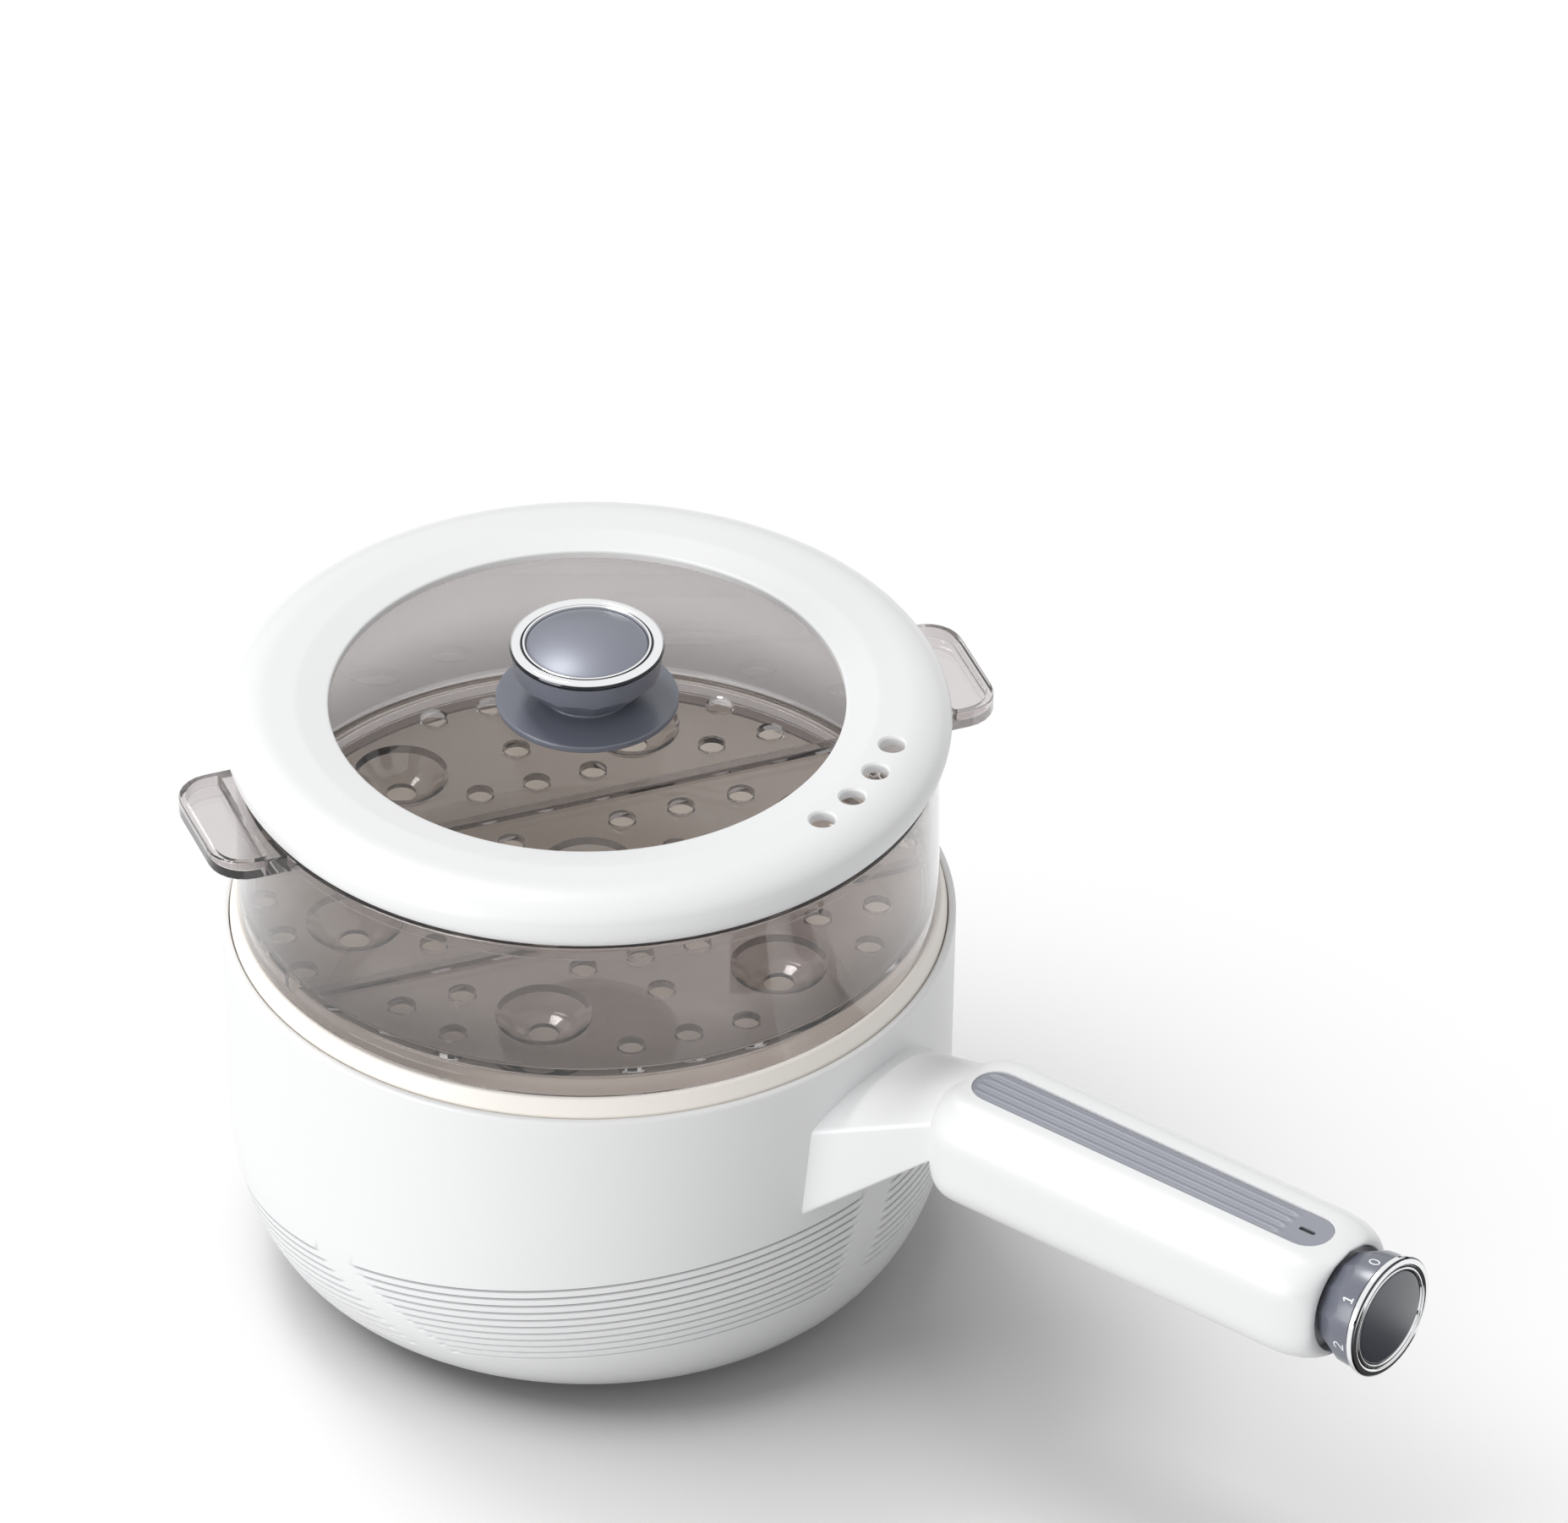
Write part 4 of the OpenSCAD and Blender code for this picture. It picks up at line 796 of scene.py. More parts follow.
handleSet = {
    "width": 40.0, "edgeRound": 11.0, "planRound": 13.0, "sideRound": 8.0, "gripStart": 126.0,
    "endTaper": 245.0, "endFace": 258.8, "recessR": 15.2, "recessLip": 0.5, "recessFloor": 255.0,
    "partGap": 0.3, "neckRef": 96.2, "neckEnd": 129.0, "neckStop": 150.0, "rootTop": 91.5, "rootMiddle": 98.6,
    "rootLow": 64.8, "endTop": 103.0, "endLow": 90.8, "rootHalf": 25.0, "footHalf": 27.3, "endHalf": 15.5,
    "crownEnd": 136.0, "crownSlope": 0.3, "crownPower": 2.4, "topCorner": 1.3, "lowCorner": 1.6,
    "intoWall": 0.9, "sunk": 0.02, "pocketHalf": 7.1, "pocketDeep": 1.4, "pocketFrom": 133.4,
    "pocketTo": 252.1, "sinkR": 3.3, "screwR": 2.9, "toolEnd": 280, "toolHalf": 40, "toolTall": 60,
}


# Closed sections along X: half width and half height follow the plan and side roundings of the grip's start,
# then the section shrinks by a quarter ellipse to the recess circle and goes down into the recess
def makeGrip():
    s = named(handleSet)
    tall = (gripTop - coverLow[2]) / 2
    wide = s.width / 2
    d = s.planRound * (1 - np.cos(np.linspace(0, halfPi, 19)))
    straight = np.linspace(s.gripStart + s.planRound, s.endTaper, 28)[1:]

    # Half size along X: a quarter circle of the radius, then the full half
    def halfSize(half, radius):
        left = np.clip(radius - d, 0, None)
        start = half - radius + np.sqrt(np.clip(radius ** 2 - left ** 2, 0, None))
        return np.concatenate([start, np.full(len(straight), half)])

    w = halfSize(wide, s.planRound)
    h = halfSize(tall, s.sideRound)
    corner = np.minimum(s.edgeRound, np.minimum(w, h) - 0.3)
    signs = np.array([(1, 1), (-1, 1), (-1, -1), (1, -1)])
    loops = roundedLoop(np.stack([w, h], -1)[:, None] * signs, np.repeat(corner[:, None], 4, 1), steps=9)
    full = loops[-1]
    bearing = np.arctan2(full[:, 1], full[:, 0])
    circle = np.stack([np.cos(bearing), np.sin(bearing)], -1)
    a = np.linspace(0, halfPi, 15)[1:]
    lipCircle = circle * (s.recessR + s.recessLip)
    endLoops = lipCircle + (full - lipCircle) * np.cos(a)[:, None, None]
    endX = s.endTaper + (s.endFace - s.endTaper) * np.sin(a)
    recess = np.array([[0.15, -0.02], [0.0, -0.3], [0.0, -1.2], [0.0, s.recessFloor - s.endFace]])
    recessLoops = circle[None] * (s.recessR + recess[:, 0])[:, None, None]
    inner = circle[None] * np.array([0.5, 0.0])[:, None, None] * s.recessR
    first = loops[:1] * np.array([0.0, 0.5])[:, None, None]
    yz = np.concatenate([first, loops, endLoops, recessLoops, inner])
    x = np.concatenate([[s.gripStart] * 2, s.gripStart + d, straight, endX, s.endFace + recess[:, 1],
                        [s.recessFloor] * 2])
    return gridMesh(spread(x[:, None], yz[..., 0], yz[..., 1] + handleZ))


# Tapered four-sided sections from the housing wall to inside the grip: sides and underside are ruled
# between the two end sections, and the top swells by a power curve across
# so that its middle line climbs to the grip's top
def makeNeck():
    s = named(handleSet)
    pairs = ((s.rootTop, s.endTop), (s.rootLow, s.endLow), (s.rootHalf, s.endHalf), (s.footHalf, s.endHalf))

    # Top, underside and the half widths at both
    def ends(x):
        k = (x - s.neckRef) / (s.neckEnd - s.neckRef)
        return [root + (end - root) * k for root, end in pairs]

    # Loop in shares: (across, up) of the section, corners rounded at the reference section
    top, low, halfTop, halfLow = ends(s.neckRef)
    loop = roundedLoop(np.array([[(halfTop, top), (-halfTop, top), (-halfLow, low), (halfLow, low)]]),
                       np.array([[s.topCorner] * 2 + [s.lowCorner] * 2]), steps=6,
                       runs=tuple(np.linspace(0, 1, 24)[1:-1]))[0]
    up = (loop[:, 1] - low) / (top - low)
    across = loop[:, 0] / (halfLow + (halfTop - halfLow) * up)
    arch = (1 - np.clip(np.abs(across), 0, 1) ** s.crownPower)

    def pointsAt(x):
        top, low, halfTop, halfLow = ends(x)
        length = s.crownEnd - s.neckRef
        run = np.clip((x - s.neckRef) / length, 0, 1)
        climb = (gripTop - s.rootMiddle) * run ** 2 * (3 - 2 * run)
        middle = s.rootMiddle + climb + length * s.crownSlope * run * (1 - run) ** 2
        middle = np.where(x > s.crownEnd, gripTop, middle) - s.sunk
        swell = np.clip(middle - top, 0, None) * arch * smoothStep(up * 6 - 5)
        z = low + (top - low) * up + swell
        return across * (halfLow + (halfTop - halfLow) * np.clip(up, 0, 1)), z

    startX = np.full(len(up), s.neckRef)
    for _ in range(12):
        y, z = pointsAt(startX)
        startX = np.sqrt(np.clip((housingWall(z)[0] - s.intoWall) ** 2 - y ** 2, 0, None))
    x = startX[None] + (s.neckStop - startX[None]) * np.linspace(0, 1, 41)[:, None]
    y, z = pointsAt(x)
    return gridMesh(np.stack([x, y, z], -1)[:, ::-1], caps=True)


def makeHandle():
    s = named(handleSet)
    grip = makeGrip()
    split = coverHigh[2]
    half = s.toolHalf
    below = block(rectAt(s.gripStart - 1, s.toolEnd, -half, half, 2), split - s.toolTall, split + s.partGap)
    above = block(rectAt(100, s.toolEnd, -half, half, 2), split, split + s.toolTall)
    pocket = block(rectAt(s.pocketFrom, s.pocketTo, -s.pocketHalf, s.pocketHalf, s.pocketHalf - 0.001),
                   gripTop - s.pocketDeep, gripTop + 4)
    shell = combined(combined(grip, "UNION", makeNeck()), "DIFFERENCE", below, pocket)
    piece("handleShell", shell, "whitePlastic", "base", "white_plastic", "handle_shell", sharp=40)
    screwLow, screwHigh = nodeBox("handle_screws")
    places = [(x, 0) for x in (screwLow[0] + s.screwR, screwHigh[0] - s.screwR)]
    sinks = joined(scattered(drumPath(s.sinkR, screwLow[2] - 3, screwLow[2] + 1.5), 32, places))
    cover = combined(grip, "DIFFERENCE", above, sinks)
    piece("handleCover", cover, "coverPlastic", "base", "cover_plastic", "handle_cover", sharp=40)


makeHandle()


# Inlay strip: a long stadium whose top carries lengthwise ribs

inlaySet = {"start": 133.5, "end": 252.0, "half": 7.0, "step": 0.4, "deep": 1.4, "ribs": 4, "ribFrom": 135.0,
            "ribTo": 239.0, "ribFade": 1.5, "ribHigh": 0.6, "ribPitch": 2.95, "edge": 0.3, "lampAt": 244.6,
            "lampLong": 5.2, "lampWide": 1.6, "lampGap": 0.08, "lampSunk": 0.5}


# Sections across the strip: y runs over the stadium's width at x, z is the top plus a cosine rib pattern
def makeInlay():
    s = named(inlaySet)
    top = gripTop - s.step
    low = gripTop - s.deep + 0.02
    bend = s.half * (1 - np.cos(np.linspace(0, halfPi, 13)))
    x = np.concatenate([s.start + bend, np.linspace(s.start + s.half, s.end - s.half, 90)[1:-1],
                        s.end - bend[::-1]])
    nearest = np.clip(np.minimum(x - s.start, s.end - x), 0, s.half)
    half = np.sqrt(np.clip(s.half ** 2 - (s.half - nearest) ** 2, 0, None))[:, None]
    v = np.concatenate([[-1.0, -0.985], np.linspace(-0.96, 0.96, 70), [0.985, 1.0]])
    y = half * v
    span = s.ribs * s.ribPitch
    wave = np.where(np.abs(y) < span / 2, 0.5 - 0.5 * np.cos(fullTurn * (y + span / 2) / s.ribPitch), 0.0)
    mask = smoothStep((x - s.ribFrom) / s.ribFade) * smoothStep((s.ribTo - x) / s.ribFade)
    edge = s.edge * np.where(np.abs(v) > 0.999, 1.0, np.where(np.abs(v) > 0.98, 0.25, 0.0))
    z = top + (wave - 0.5) * s.ribHigh * mask[:, None] - edge * np.minimum(half, 1.0)
    y = np.concatenate([y, half * np.array([1.0, -1.0])], 1)
    z = np.concatenate([z, np.full((len(x), 2), low)], 1)
    strip = gridMesh(spread(x[:, None], y, z)[:, ::-1])

    # Block of the lamp's slot, smaller by a gap
    def lampBlock(gap, ease, *heights):
        long = s.lampLong / 2 - gap
        wide = s.lampWide / 2 - gap
        return block(rectAt(s.lampAt - long, s.lampAt + long, -wide, wide, wide - ease), *heights)

    strip = combined(strip, "DIFFERENCE", lampBlock(0.0, 0.01, low - 2, top + 3))
    piece("gripInlay", strip, "inlayGrey", "base", "inlay_grey", "grip_inlay", sharp=34)
    lens = lampBlock(s.lampGap, 0.02, nodeBox("indicator_lens")[0][2], top - s.lampSunk, 0.0, 0.15)
    piece("lampLens", lens, "lampWindow", "base", "lamp_window", "indicator_lens")


makeInlay()


# Shapes that the dial and the lid's knob share

flatColumns = 24


# Round radii cut by a ring of slanted flats: flat distance / cos of the angle from its middle
def withFlats(radii, flats, count, soft):
    columns = count * flatColumns
    t = np.arange(columns) * fullTurn / columns
    pitch = fullTurn / count
    off = (t + pitch / 2) % pitch - pitch / 2
    return t, softMin(radii[:, None], flats[:, None] / np.cos(off)[None], soft)


# Domed disc: flat under, a straight side up to an eased edge,
# and a top whose height follows the share of the radius
def domedPath(radius, low, side, ease, rows, heightAt):
    share = 1 - np.linspace(0, 1, rows)[1:]
    dome = np.stack([radius * share, heightAt(share)], -1)
    rim = outline([(0, low), (radius, low, 0.1), (radius, side, ease), tuple(dome[0])], steps=5, closed=False)
    return np.concatenate([rim[:-1], dome])


# Dial on the grip's end; its ring's outline is (radius, distance from the ring's back, rounding)

dialSet = {"facets": 12, "backFlat": 12.5, "flatSlope": 0.5, "frontR": 16.4, "barrel": 1.5, "soft": 0.06,
           "backEase": 0.35, "capR": 13.35, "capSide": 1.5, "capEase": 0.45, "capTop": 2.35, "capDome": 0.75,
           "numberTall": 3.0, "numberWide": 1.9, "stroke": 0.42, "proud": 0.05, "sunk": -0.4, "numberAt": 2.6,
           "numberAngles": (2.0, 48.5, 98.0),
           "ring": ((13.5, 0, 0), (16.15, 0, 0.1), (16.3, 0.35, 0.1), (16.9, 0.4, 0.3), (17.3, 0.9, 0.4),
                    (17.3, 2.9, 1.15), (15.0, 2.9, 0.75), (14.75, 2.2, 0.12), (14.5, 2.2, 0.12),
                    (14.45, 2.75, 0.3), (13.8, 2.75, 0.3), (13.5, 2.1, 0.2))}
dialStart = nodeBox("control_knob")[0][0]
ringStart = nodeBox("knob_ring")[0][0]
capStart = nodeBox("knob_cap")[0][0]
dialFront = ringStart - dialStart


# Smooth outside of the dial: a barrel that narrows by a parabola towards the grip
def dialRound(x):
    s = named(dialSet)
    return s.frontR - s.barrel * np.clip((dialFront - x) / dialFront, 0, 1) ** 2


def makeDial():
    s = named(dialSet)
    x = np.concatenate([[0, 0, 0], np.linspace(0, dialFront, 46), [dialFront] * 3])
    share = np.concatenate([[0, 0.5, 0.93], np.full(46, 1.0), [0.93, 0.5, 0]])
    t, radius = withFlats(dialRound(x), s.backFlat + s.flatSlope * x, s.facets, s.soft)
    radius = radius * share[:, None]
    radius[3] -= s.backEase
    x[4] = s.backEase
    body = alongHandle(gridMesh(polar(radius, t, (x + dialStart)[:, None])))
    piece("dialBody", body, "slatePlastic", "dial", "slate_plastic", "control_knob", sharp=14)
    path = outline([(r, ringStart + up, ease) for r, up, ease in s.ring], steps=7)
    ring = alongHandle(turned(path, 160, step=0.8))
    piece("dialRing", ring, "brightDialRing", "dial", "bright_ring", "knob_ring", sharp=60)
    path = domedPath(s.capR, capStart, capStart + s.capSide, s.capEase, 25,
                     lambda k: capStart + s.capTop - s.capDome * k ** 2)
    cap = alongHandle(turned(path, 160, False, 0.8))
    piece("dialCap", cap, "dialCapGloss", "dial", "dark_cap", "knob_cap", sharp=50)


makeDial()


# Numbers as thin ribbons that follow the dial: a flat stroke carried along each digit's path,
# with digit-up along -X and digit-right round the dial

def strokePaths():
    a = np.linspace(0, fullTurn, 41)[:-1]
    zero = [(np.stack([0.5 * np.cos(a), 0.5 * np.sin(a)], -1), True)]
    one = [(np.array([[0, -0.5], [0, 0], [0, 0.5]]), False),
           (np.array([[-0.42, 0.26], [-0.2, 0.4], [0.02, 0.5]]), False),
           (np.array([[-0.4, -0.5], [0, -0.5], [0.4, -0.5]]), False)]
    b = np.radians(np.linspace(170, -38, 22))
    bow = np.stack([0.5 * np.cos(b), 0.24 + 0.26 * np.sin(b)], -1)
    two = [(np.concatenate([bow, [[0.1, -0.16], [-0.2, -0.34], [-0.5, -0.5]]]), False),
           (np.array([[-0.56, -0.5], [0, -0.5], [0.54, -0.5]]), False)]
    return [zero, one, two]


def makeNumbers():
    s = named(dialSet)
    meshes = []
    for digit, bearing in zip(strokePaths(), s.numberAngles):
        for path, loop in digit:
            path = path * np.array([s.numberWide, s.numberTall])
            ahead = unit((np.roll(path, -1, 0) - np.roll(path, 1, 0)) if loop else np.gradient(path, axis=0))
            side = np.stack([-ahead[:, 1], ahead[:, 0]], -1) * s.stroke / 2
            left, right = path + side, path - side
            u, v = np.stack([left, right, right, left], 1).transpose(2, 0, 1)
            x = dialFront - s.numberAt - v
            radius = dialRound(x) + np.array([s.proud, s.proud, s.sunk, s.sunk])
            t = np.radians(bearing) - u / s.frontR
            grid = np.stack([x + dialStart, -radius * np.sin(t), radius * np.cos(t) + handleZ], -1)
            meshes.append(gridMesh(grid, closeRows=loop, caps=not loop))
    piece("dialNumbers", joined(meshes), "numberPaint", "dial", "white_plastic", sharp=30)


makeNumbers()


# Steam tray: one clear moulding

traySet = {
    "turn": 58.2, "wall": 2.4, "bead": 0.6, "beadHigh": 4.0, "floorUp": 7.5, "floorThick": 2.5,
    "ribDeep": 2.5, "ribWall": 2.4, "ribR": 93.7, "bodyR": 95.4, "pitch": 17.4, "holeR": 3.4,
    "holeEase": 0.45, "cupR": 12.8,
    "cupLowR": 4.0, "cupWall": 1.5, "cupCircle": 67.0, "cupDrop": 0.2, "floorRib": 4.0, "floorRibHigh": 1.5,
    "earStart": 60.0, "earReach": 112.4, "earHalf": 21.8, "earRound": 10.2, "earHigh": 5.6, "earDish": 3.6,
    "earLip": 1.9, "earChord": 98.4, "earDrop": 0.4, "intoWall": 1.2,
    "holeRows": ((0, (1.45, 2.45, 5)), (1, (0.92, 1.9, 2.9, 5)), (2.4, (0, 0.94, 2.92, 3.9)),
                 (3.35, (0, 3.4)), (4.57, (0, 0.94))),
}


# Walls and floor are one turned outline; ears, cups and ribs are joined on,
# and cups and holes are cut with eased edges
def makeTray():
    s = named(traySet)
    base = rimZ
    top = trayTop
    floor = base + s.floorUp
    under = floor - s.floorThick
    inR = s.bodyR - s.wall
    ribIn = s.ribR - s.ribWall
    ribLow = base - s.ribDeep
    beadR = s.bodyR + s.bead
    beadLow = top - s.beadHigh
    path = outline([
        (0, under), (ribIn, under, 0.8), (ribIn, ribLow, 0.5), (s.ribR, ribLow, 0.7), (s.ribR, base, 0.2),
        (s.bodyR, base, 0.5), (s.bodyR, beadLow, 0.4), (beadR, beadLow + s.bead, 0.4), (beadR, top, 0.8),
        (inR, top, 0.8), (inR, floor, 1.8), (0, floor)], steps=5, closed=False)
    mesh = turned(path, 224, False, 5.0)
    earTop = top - s.earDrop
    ear = block(rectAt(s.earStart, s.earReach, -s.earHalf, s.earHalf, s.earRound), earTop - s.earHigh, earTop,
                0.7, 0.6)
    core = turned(drumPath(inR + s.intoWall, earTop - 20, earTop + 20), 224, False)
    half = s.earHalf - s.earLip
    dish = block(rectAt(s.earChord, s.earReach - s.earLip, -half, half, s.earRound - s.earLip, 1.2),
                 earTop - s.earDish, earTop + 6, 0.8)
    ear = combined(ear, "DIFFERENCE", core, dish)
    mesh = combined(mesh, "UNION", ear)
    mesh = combined(mesh, "UNION", placed(ear, 180))
    ribAt = s.pitch * 5 / 3
    ribHalf = s.floorRib / 2
    ribLong = math.sqrt((inR + 0.9) ** 2 - (ribAt + ribHalf) ** 2)
    for at in (-ribAt, ribAt):
        rib = block(rectAt(-ribLong, ribLong, at - ribHalf, at + ribHalf, 0.75), floor - 1.0,
                    floor + s.floorRibHigh, 0.0, 0.7)
        mesh = combined(mesh, "UNION", rib)
    low = base - s.cupDrop
    high = floor + 3
    lowR, cupR = s.cupLowR, s.cupR
    outR = lowR + s.cupWall
    cupOut = outline([(0, low), (outR, low, 0.4), (outR + 4.2, low + 1.6, 5.0),
                      (cupR + s.cupWall, floor - 0.9, 0.3), (0, floor - 0.9)], closed=False)
    cupIn = outline([(0, low - 2), (lowR, low - 2), (lowR, low + 1.0, 0.4), (lowR + 4.0, low + 2.3, 5.0),
                     (cupR, floor - 0.2, 0.5), (cupR + 0.6, floor + 0.4, 0.3), (cupR + 0.6, high), (0, high)],
                    closed=False)
    r, ease = s.holeR, s.holeEase
    hole = outline([(0, under - 3), (r + ease, under - 3), (r + ease, under - 0.02, 0.02),
                    (r, under + ease, ease), (r, floor - ease, ease), (r + ease, floor + 0.02, 0.02),
                    (r + ease, high), (0, high)], steps=4, closed=False)
    cupPlaces = [(0.0, 0.0)] + onCircle(s.cupCircle, np.arange(0, 360, 60))
    holePlaces = {(sx * along * s.pitch, sy * across * s.pitch) for across, row in s.holeRows for along in row
                  for sx in (-1, 1) for sy in (-1, 1)}
    mesh = combined(mesh, "UNION", joined(scattered(cupOut, 64, cupPlaces)))
    cuts = scattered(cupIn, 64, cupPlaces) + scattered(hole, 40, sorted(holePlaces))
    mesh = placed(combined(mesh, "DIFFERENCE", joined(cuts)), s.turn)
    print("tray holes:", len(holePlaces), "cups:", len(cupPlaces))
    piece("steamTray", mesh, "clearTray", "tray", "clear_tray", "steam_tray", sharp=42, flatWeights=True)


makeTray()


# Lid: a broad rounded ring with four steam holes, and a shallow glass dome

lidSet = {"outR": 98.7, "inR": 70.0, "under": 5.8, "crownOut": 12.0, "slopeIn": 9.0, "slopeDrop": 1.2,
          "glassGap": 0.35, "hollowIn": 76.8, "hollowOut": 89.1, "topThick": 3.0, "ribR": 92.3, "vents": 4,
          "ventR": 3.5, "ventCircle": 85.3, "ventTurn": 9.5, "ventStep": 8.9, "ventEase": 0.6,
          "glassThick": 4.0, "glassRise": 2.3, "glassEdge": 0.4, "screwHole": 3.8}


# The ring's outline is two quarter ellipses outside, a flat crown, and a shallow slope to a crisp inner edge
def makeLidRing():
    s = named(lidSet)
    top = lidHigh[2]
    base = trayTop
    low = lidLow[2]
    mid = (top + base) / 2
    high = top - mid
    a = np.linspace(0, halfPi, 17)
    lower = np.stack([s.outR - s.under * (1 - np.sin(a)), mid - high * np.cos(a)], -1)
    upper = np.stack([s.outR - s.crownOut + s.crownOut * np.cos(a), mid + high * np.sin(a)], -1)[1:]
    lip = glassHigh[2] - s.glassRise + s.glassGap
    roof = top - s.topThick
    hollow = outline([
        tuple(upper[-1]), (s.inR + s.slopeIn, top, 12.0), (s.inR, top - s.slopeDrop, 0.7), (s.inR, lip, 0.3),
        (s.hollowIn, lip, 0.2), (s.hollowIn + 0.4, roof, 0.2), (s.hollowOut, roof, 1.0),
        (s.hollowOut, low, 0.4), (s.ribR, low, 0.7), (s.ribR, base, 0.1), tuple(lower[0])], closed=False)
    ring = turned(np.concatenate([lower, upper, hollow[1:-1]]), 256, step=3.0)
    r, ease = s.ventR, s.ventEase
    cut = outline([(0, top - 12), (r, top - 12), (r, top - ease, ease), (r + ease, top + 0.03, 0.02),
                   (r + ease, top + 4), (0, top + 4)], steps=5, closed=False)
    angles = s.ventTurn + (np.arange(s.vents) - (s.vents - 1) / 2) * s.ventStep
    ring = combined(ring, "DIFFERENCE", joined(scattered(cut, 56, onCircle(s.ventCircle, angles))))
    piece("lidRing", ring, "whitePlastic", "lid", "white_plastic", "lid_ring", sharp=42)


# Upper and lower face are one parabola, rise = top - drop (r / edge)^2, with a rounded rim between them
def makeLidGlass():
    s = named(lidSet)
    edge = glassHigh[0]
    rimStart = edge - s.glassEdge
    r = np.linspace(s.screwHole, rimStart, 28)
    rise = glassHigh[2] - s.glassRise * (r / edge) ** 2
    rimR = rimStart + s.glassEdge * np.sin(np.linspace(0, np.pi, 7)[1:-1])
    rimZs = rise[-1] - s.glassThick * np.array([0.97, 0.9, 0.5, 0.1, 0.03])
    path = np.concatenate([np.stack([r, rise - s.glassThick], -1), np.stack([rimR, rimZs], -1),
                           np.stack([r, rise], -1)[::-1]])
    piece("lidGlass", turned(path, 224), "lidPane", "lid", "lid_pane", "lid_glass", sharp=50)


makeLidRing()
makeLidGlass()


# Lid knob: foot, faceted bowl, bright ring and domed cap

footLow, footHigh = nodeBox("lid_knob_base")
lidRingHigh = nodeBox("lid_knob_ring")[1]
lidCapLow, lidCapHigh = nodeBox("lid_knob_cap")
knobSet = {"neckR": 12.0, "topR": 20.4, "facets": 12, "flatLow": 13.2, "flatSlope": 0.92, "soft": 0.05,
           "fullness": 0.55, "disc": 1.9, "collarR": 11.7, "capR": 16.5, "capSunk": 0.9, "capPower": 2.2,
           "ringTall": 2.3}


def makeLidKnob():
    s = named(knobSet)
    footR = footHigh[0]
    z0 = footLow[2]
    z1 = footHigh[2]
    disc = z0 + s.disc
    collar = s.collarR
    foot = outline([(0, z0), (footR, z0, 0.5), (footR, disc, 0.45), (collar + 2.2, disc + 0.55, 2.0),
                    (collar, disc + 0.7, 0.5), (collar, z1 - 0.3, 0.5), (collar - 1.0, z1 - 0.25, 0.3),
                    (collar - 1.4, z1, 0.2), (0, z1)], steps=7, closed=False)
    foot = turned(foot, 160, False, 1.2)
    piece("lidKnobFoot", foot, "slatePlastic", "lid", "slate_plastic", "lid_knob_base", sharp=50)
    # Bowl: radius = neck + (top - neck) (sin a) ^ fullness, height = h (1 - cos a),
    # cut by a ring of slanted flats
    r1 = lidRingHigh[2]
    r0 = r1 - s.ringTall
    high = r0 - z1
    a = np.linspace(0, halfPi, 41)
    up = high * (1 - np.cos(a))
    smooth = s.neckR + (s.topR - s.neckR) * np.sin(a) ** s.fullness
    t, radius = withFlats(smooth, s.flatLow + s.flatSlope * up, s.facets, s.soft)
    share = np.array([0.0, 0.6])[:, None]
    radius = np.concatenate([share * radius[:1], radius, (share * radius[-1:])[::-1]])
    z = np.concatenate([[0, 0], up, [high, high]]) + z1
    bowl = gridMesh(polar(radius, t, z[:, None]))
    piece("lidKnobBowl", bowl, "slatePlastic", "lid", "slate_plastic", "lid_knob_body", sharp=14)
    outer = lidRingHigh[0]
    inner = s.capR
    ring = outline([
        (inner + 0.1, r0), (outer - 1.0, r0, 0.1), (outer - 0.8, r0 + 0.25, 0.1),
        (outer - 0.3, r0 + 0.3, 0.25), (outer, r0 + 0.7, 0.3), (outer, r1, 1.4),
        (inner + 1.5, r1, 1.0), (inner + 1.25, r1 - 0.75, 0.12), (inner + 1.0, r1 - 0.75, 0.12),
        (inner + 0.95, r1 - 0.2, 0.3), (inner + 0.35, r1 - 0.2, 0.3), (inner + 0.1, r1 - 0.9, 0.2)], steps=8)
    ring = turned(ring, 192, step=0.9)
    piece("lidKnobRing", ring, "brightLidRing", "lid", "bright_ring", "lid_knob_ring", sharp=60)
    start = r1 - s.capSunk
    cap = domedPath(s.capR, lidCapLow[2], start - 0.1, 0.4, 29,
                    lambda k: start + (lidCapHigh[2] - start) * (1 - k ** s.capPower))
    cap = turned(cap, 176, False, 0.9)
    piece("lidKnobCap", cap, "lidCapGloss", "lid", "slate_plastic", "lid_knob_cap", sharp=50)


makeLidKnob()


# Floor, world and lamps; a lamp's place is in steps to the right of the camera, away from it and up

stageSet = {"floorHalf": 12.0, "floorColour": 0.5, "floorBounce": 0.28, "floorGlow": 0.03, "floorRough": 0.9,
            "worldLight": 0.6, "sunAt": (-0.5, 0.75, 1.9), "sunStrength": 1.1, "sunSoft": 16.0,
            "floorSunAt": (-0.85, 0.12, 2.0), "floorSun": 3.75, "floorSoft": 62.0,
            "fillAt": (-1.46, -1.14, 0.5), "fillPower": 21.0, "fillSize": 1.1,
            "lampAim": (0.05, 0, 0.1), "bandShade": 0.03, "bandR": 2.6, "bandLow": 0.22, "bandHigh": 0.62,
            "card": (0.28, 0.56, -0.06, 0.1), "cardUp": 0.001}
stage = named(stageSet)


def cameraLike(tree):
    path = addNode(tree, "LightPath").outputs
    seen = mathNode(tree, "MAXIMUM", path["Is Camera Ray"], path["Is Glossy Ray"])
    return mathNode(tree, "MAXIMUM", seen, path["Is Transmission Ray"])


def grey(value):
    return (value, value, value, 1)


# Flat rectangle as an object
def sheet(name, x0, x1, y0, y1, z):
    mesh = bpy.data.meshes.new(name)
    mesh.from_pydata([(x0, y0, z), (x1, y0, z), (x1, y1, z), (x0, y1, z)], [], [(0, 1, 2, 3)])
    return linked(name, mesh)


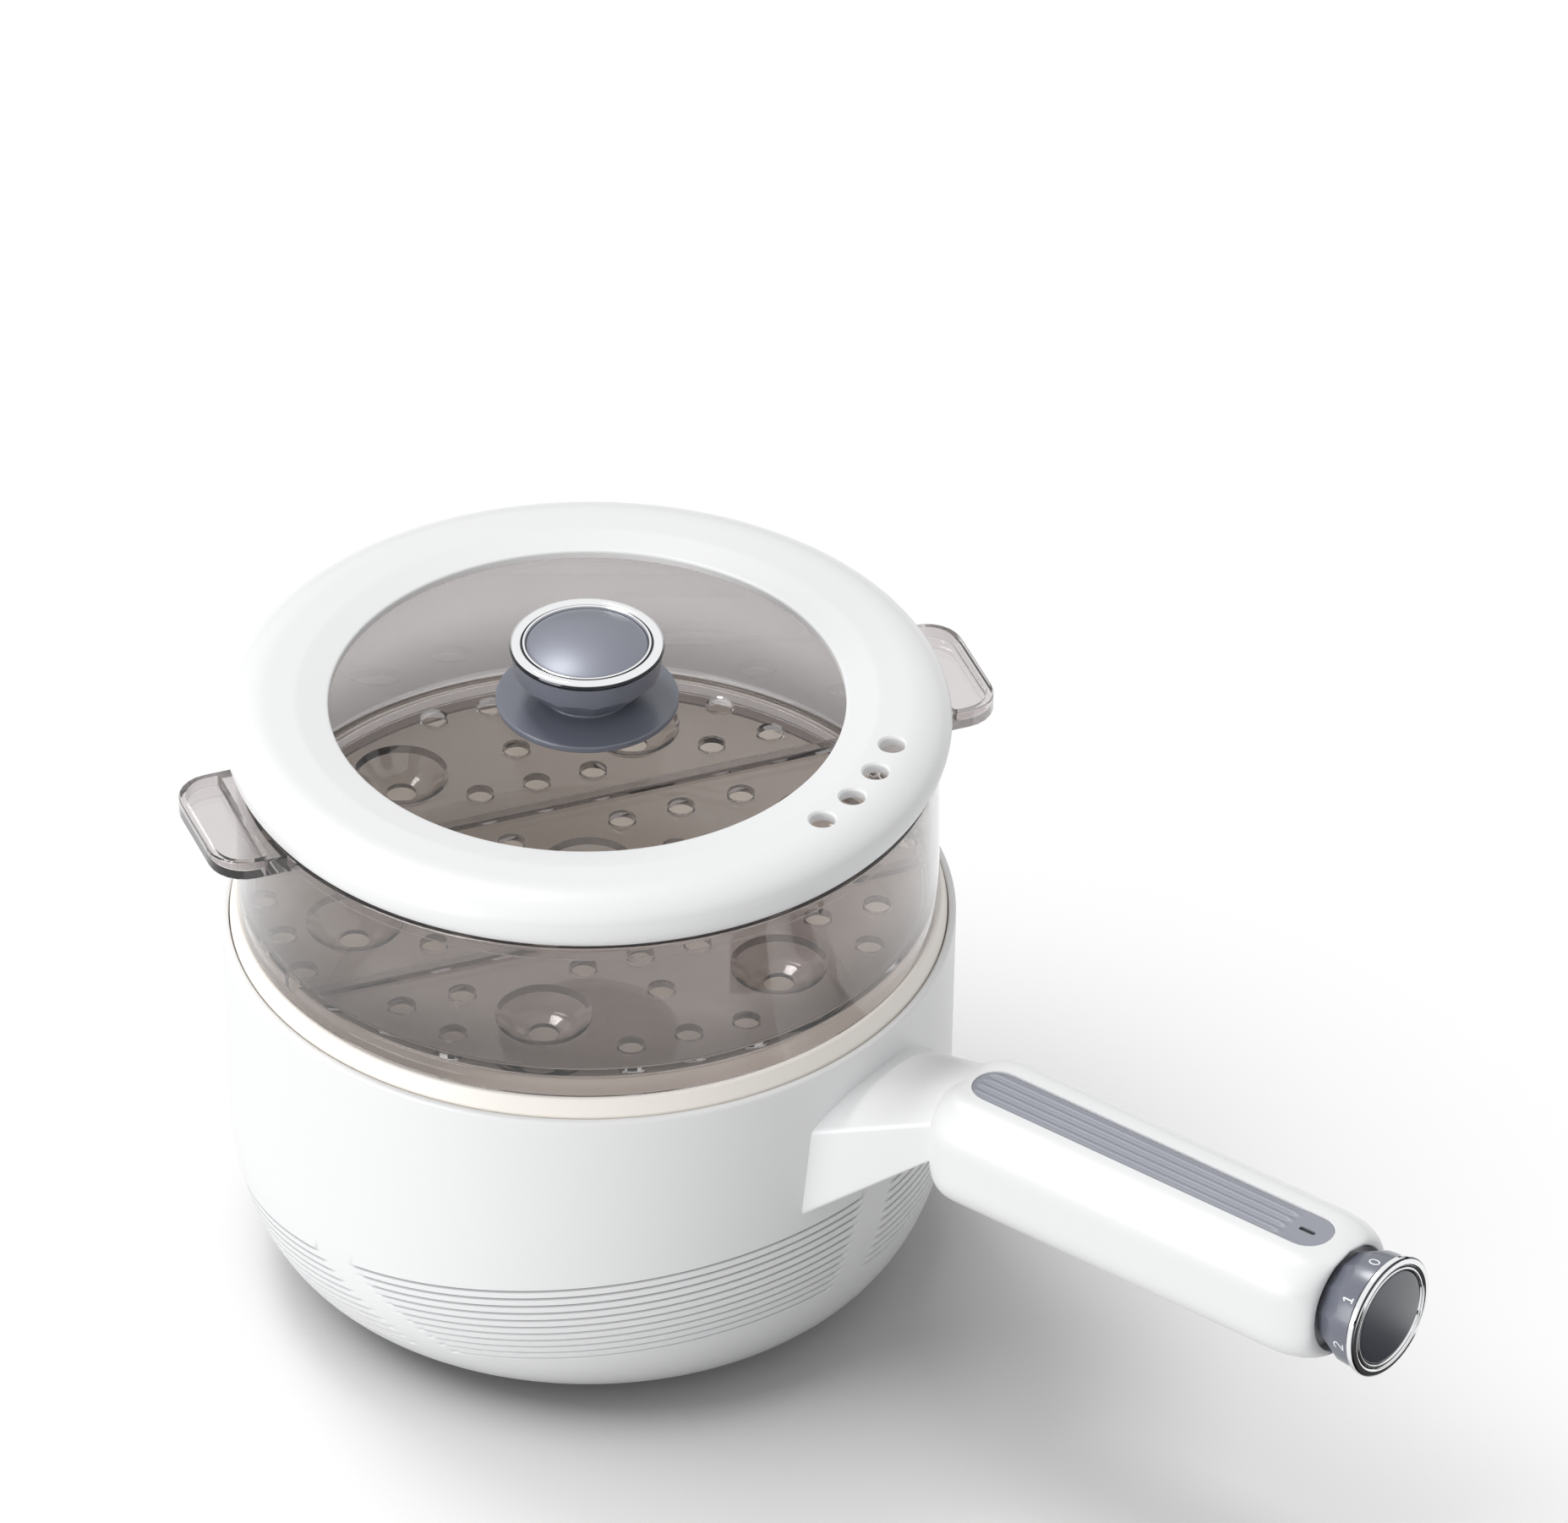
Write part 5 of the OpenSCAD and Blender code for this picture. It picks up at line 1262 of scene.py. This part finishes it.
def makeFloor():
    half = stage.floorHalf
    floor = sheet("floor", -half, half, -half, half, 0)
    material, tree, shader = newMaterial("paleFloor")
    seen = cameraLike(tree)
    colour = colourMix(tree, seen, grey(stage.floorBounce), grey(stage.floorColour))
    fill(tree, shader, {"Base Color": colour, "Roughness": stage.floorRough, "Specular IOR Level": 0.0})
    glow = addNode(tree, "Emission", {"Strength": mathNode(tree, "MULTIPLY", seen, stage.floorGlow)})
    both = addNode(tree, "AddShader", {0: shader.outputs[0], 1: glow.outputs[0]})
    fill(tree, tree.nodes["Material Output"], {"Surface": both.outputs[0]})
    floor.data.materials.append(material)
    return floor


def makeWorld():
    world = bpy.data.worlds.new("paleRoom")
    world.use_nodes = True
    bpy.context.scene.world = world
    tree = world.node_tree
    light = fill(tree, tree.nodes["Background"], {"Color": grey(1), "Strength": stage.worldLight})
    white = addNode(tree, "Background", {"Color": grey(1)})
    mix = addNode(tree, "MixShader", {0: cameraLike(tree), 1: light.outputs[0], 2: white.outputs[0]})
    fill(tree, tree.nodes["World Output"], {"Surface": mix.outputs[0]})


# A dark band round the set, a turned strip x = r cos t, y = r sin t, and a dark card by the dial:
# only reflections see them
def makeBand():
    path = np.array([[stage.bandR, stage.bandLow], [stage.bandR, stage.bandHigh]]) / mm
    band = linked("darkBand", turned(path, 96, False))
    card = sheet("darkCard", *stage.card, stage.cardUp)
    material, tree, shader = newMaterial("darkBand")
    fill(tree, shader, {"Base Color": grey(stage.bandShade), "Roughness": 1.0})
    for thing in (band, card):
        thing.data.materials.append(material)
        thing.visible_camera = False
        thing.visible_diffuse = False
        thing.visible_transmission = False
        thing.visible_shadow = False


# A lamp aimed at the pot
def makeLamp(name, kind, place, **settings):
    right, away, up = place
    flat = Vector((camAhead.x, camAhead.y, 0)).normalized()
    spot = camRight * right + flat * away + Vector((0, 0, up))
    data = bpy.data.lights.new(name, kind)
    for key, value in settings.items():
        setattr(data, key, value)
    lamp = linked(name, data)
    lamp.location = spot
    lamp.rotation_euler = (Vector(stage.lampAim) - spot).to_track_quat("-Z", "Y").to_euler()
    return lamp


floor = makeFloor()
makeWorld()
makeBand()
makeLamp("windowLight", "SUN", stage.sunAt, energy=stage.sunStrength, angle=math.radians(stage.sunSoft))
floorSun = makeLamp("floorLight", "SUN", stage.floorSunAt, energy=stage.floorSun,
                    angle=math.radians(stage.floorSoft))
softBox = makeLamp("softBox", "AREA", stage.fillAt, energy=stage.fillPower, size=stage.fillSize)
# The floor has a window light of its own and no fill, so its shadow stays clear while the part is lit plainly
for lamp, state in ((floorSun, "INCLUDE"), (softBox, "EXCLUDE")):
    group = bpy.data.collections.new(lamp.name + "Receiver")
    group.objects.link(floor)
    lamp.light_linking.receiver_collection = group
    group.collection_objects[0].light_linking.link_state = state
bpy.context.scene.view_settings.view_transform = "Standard"
print("stage and lamps set")
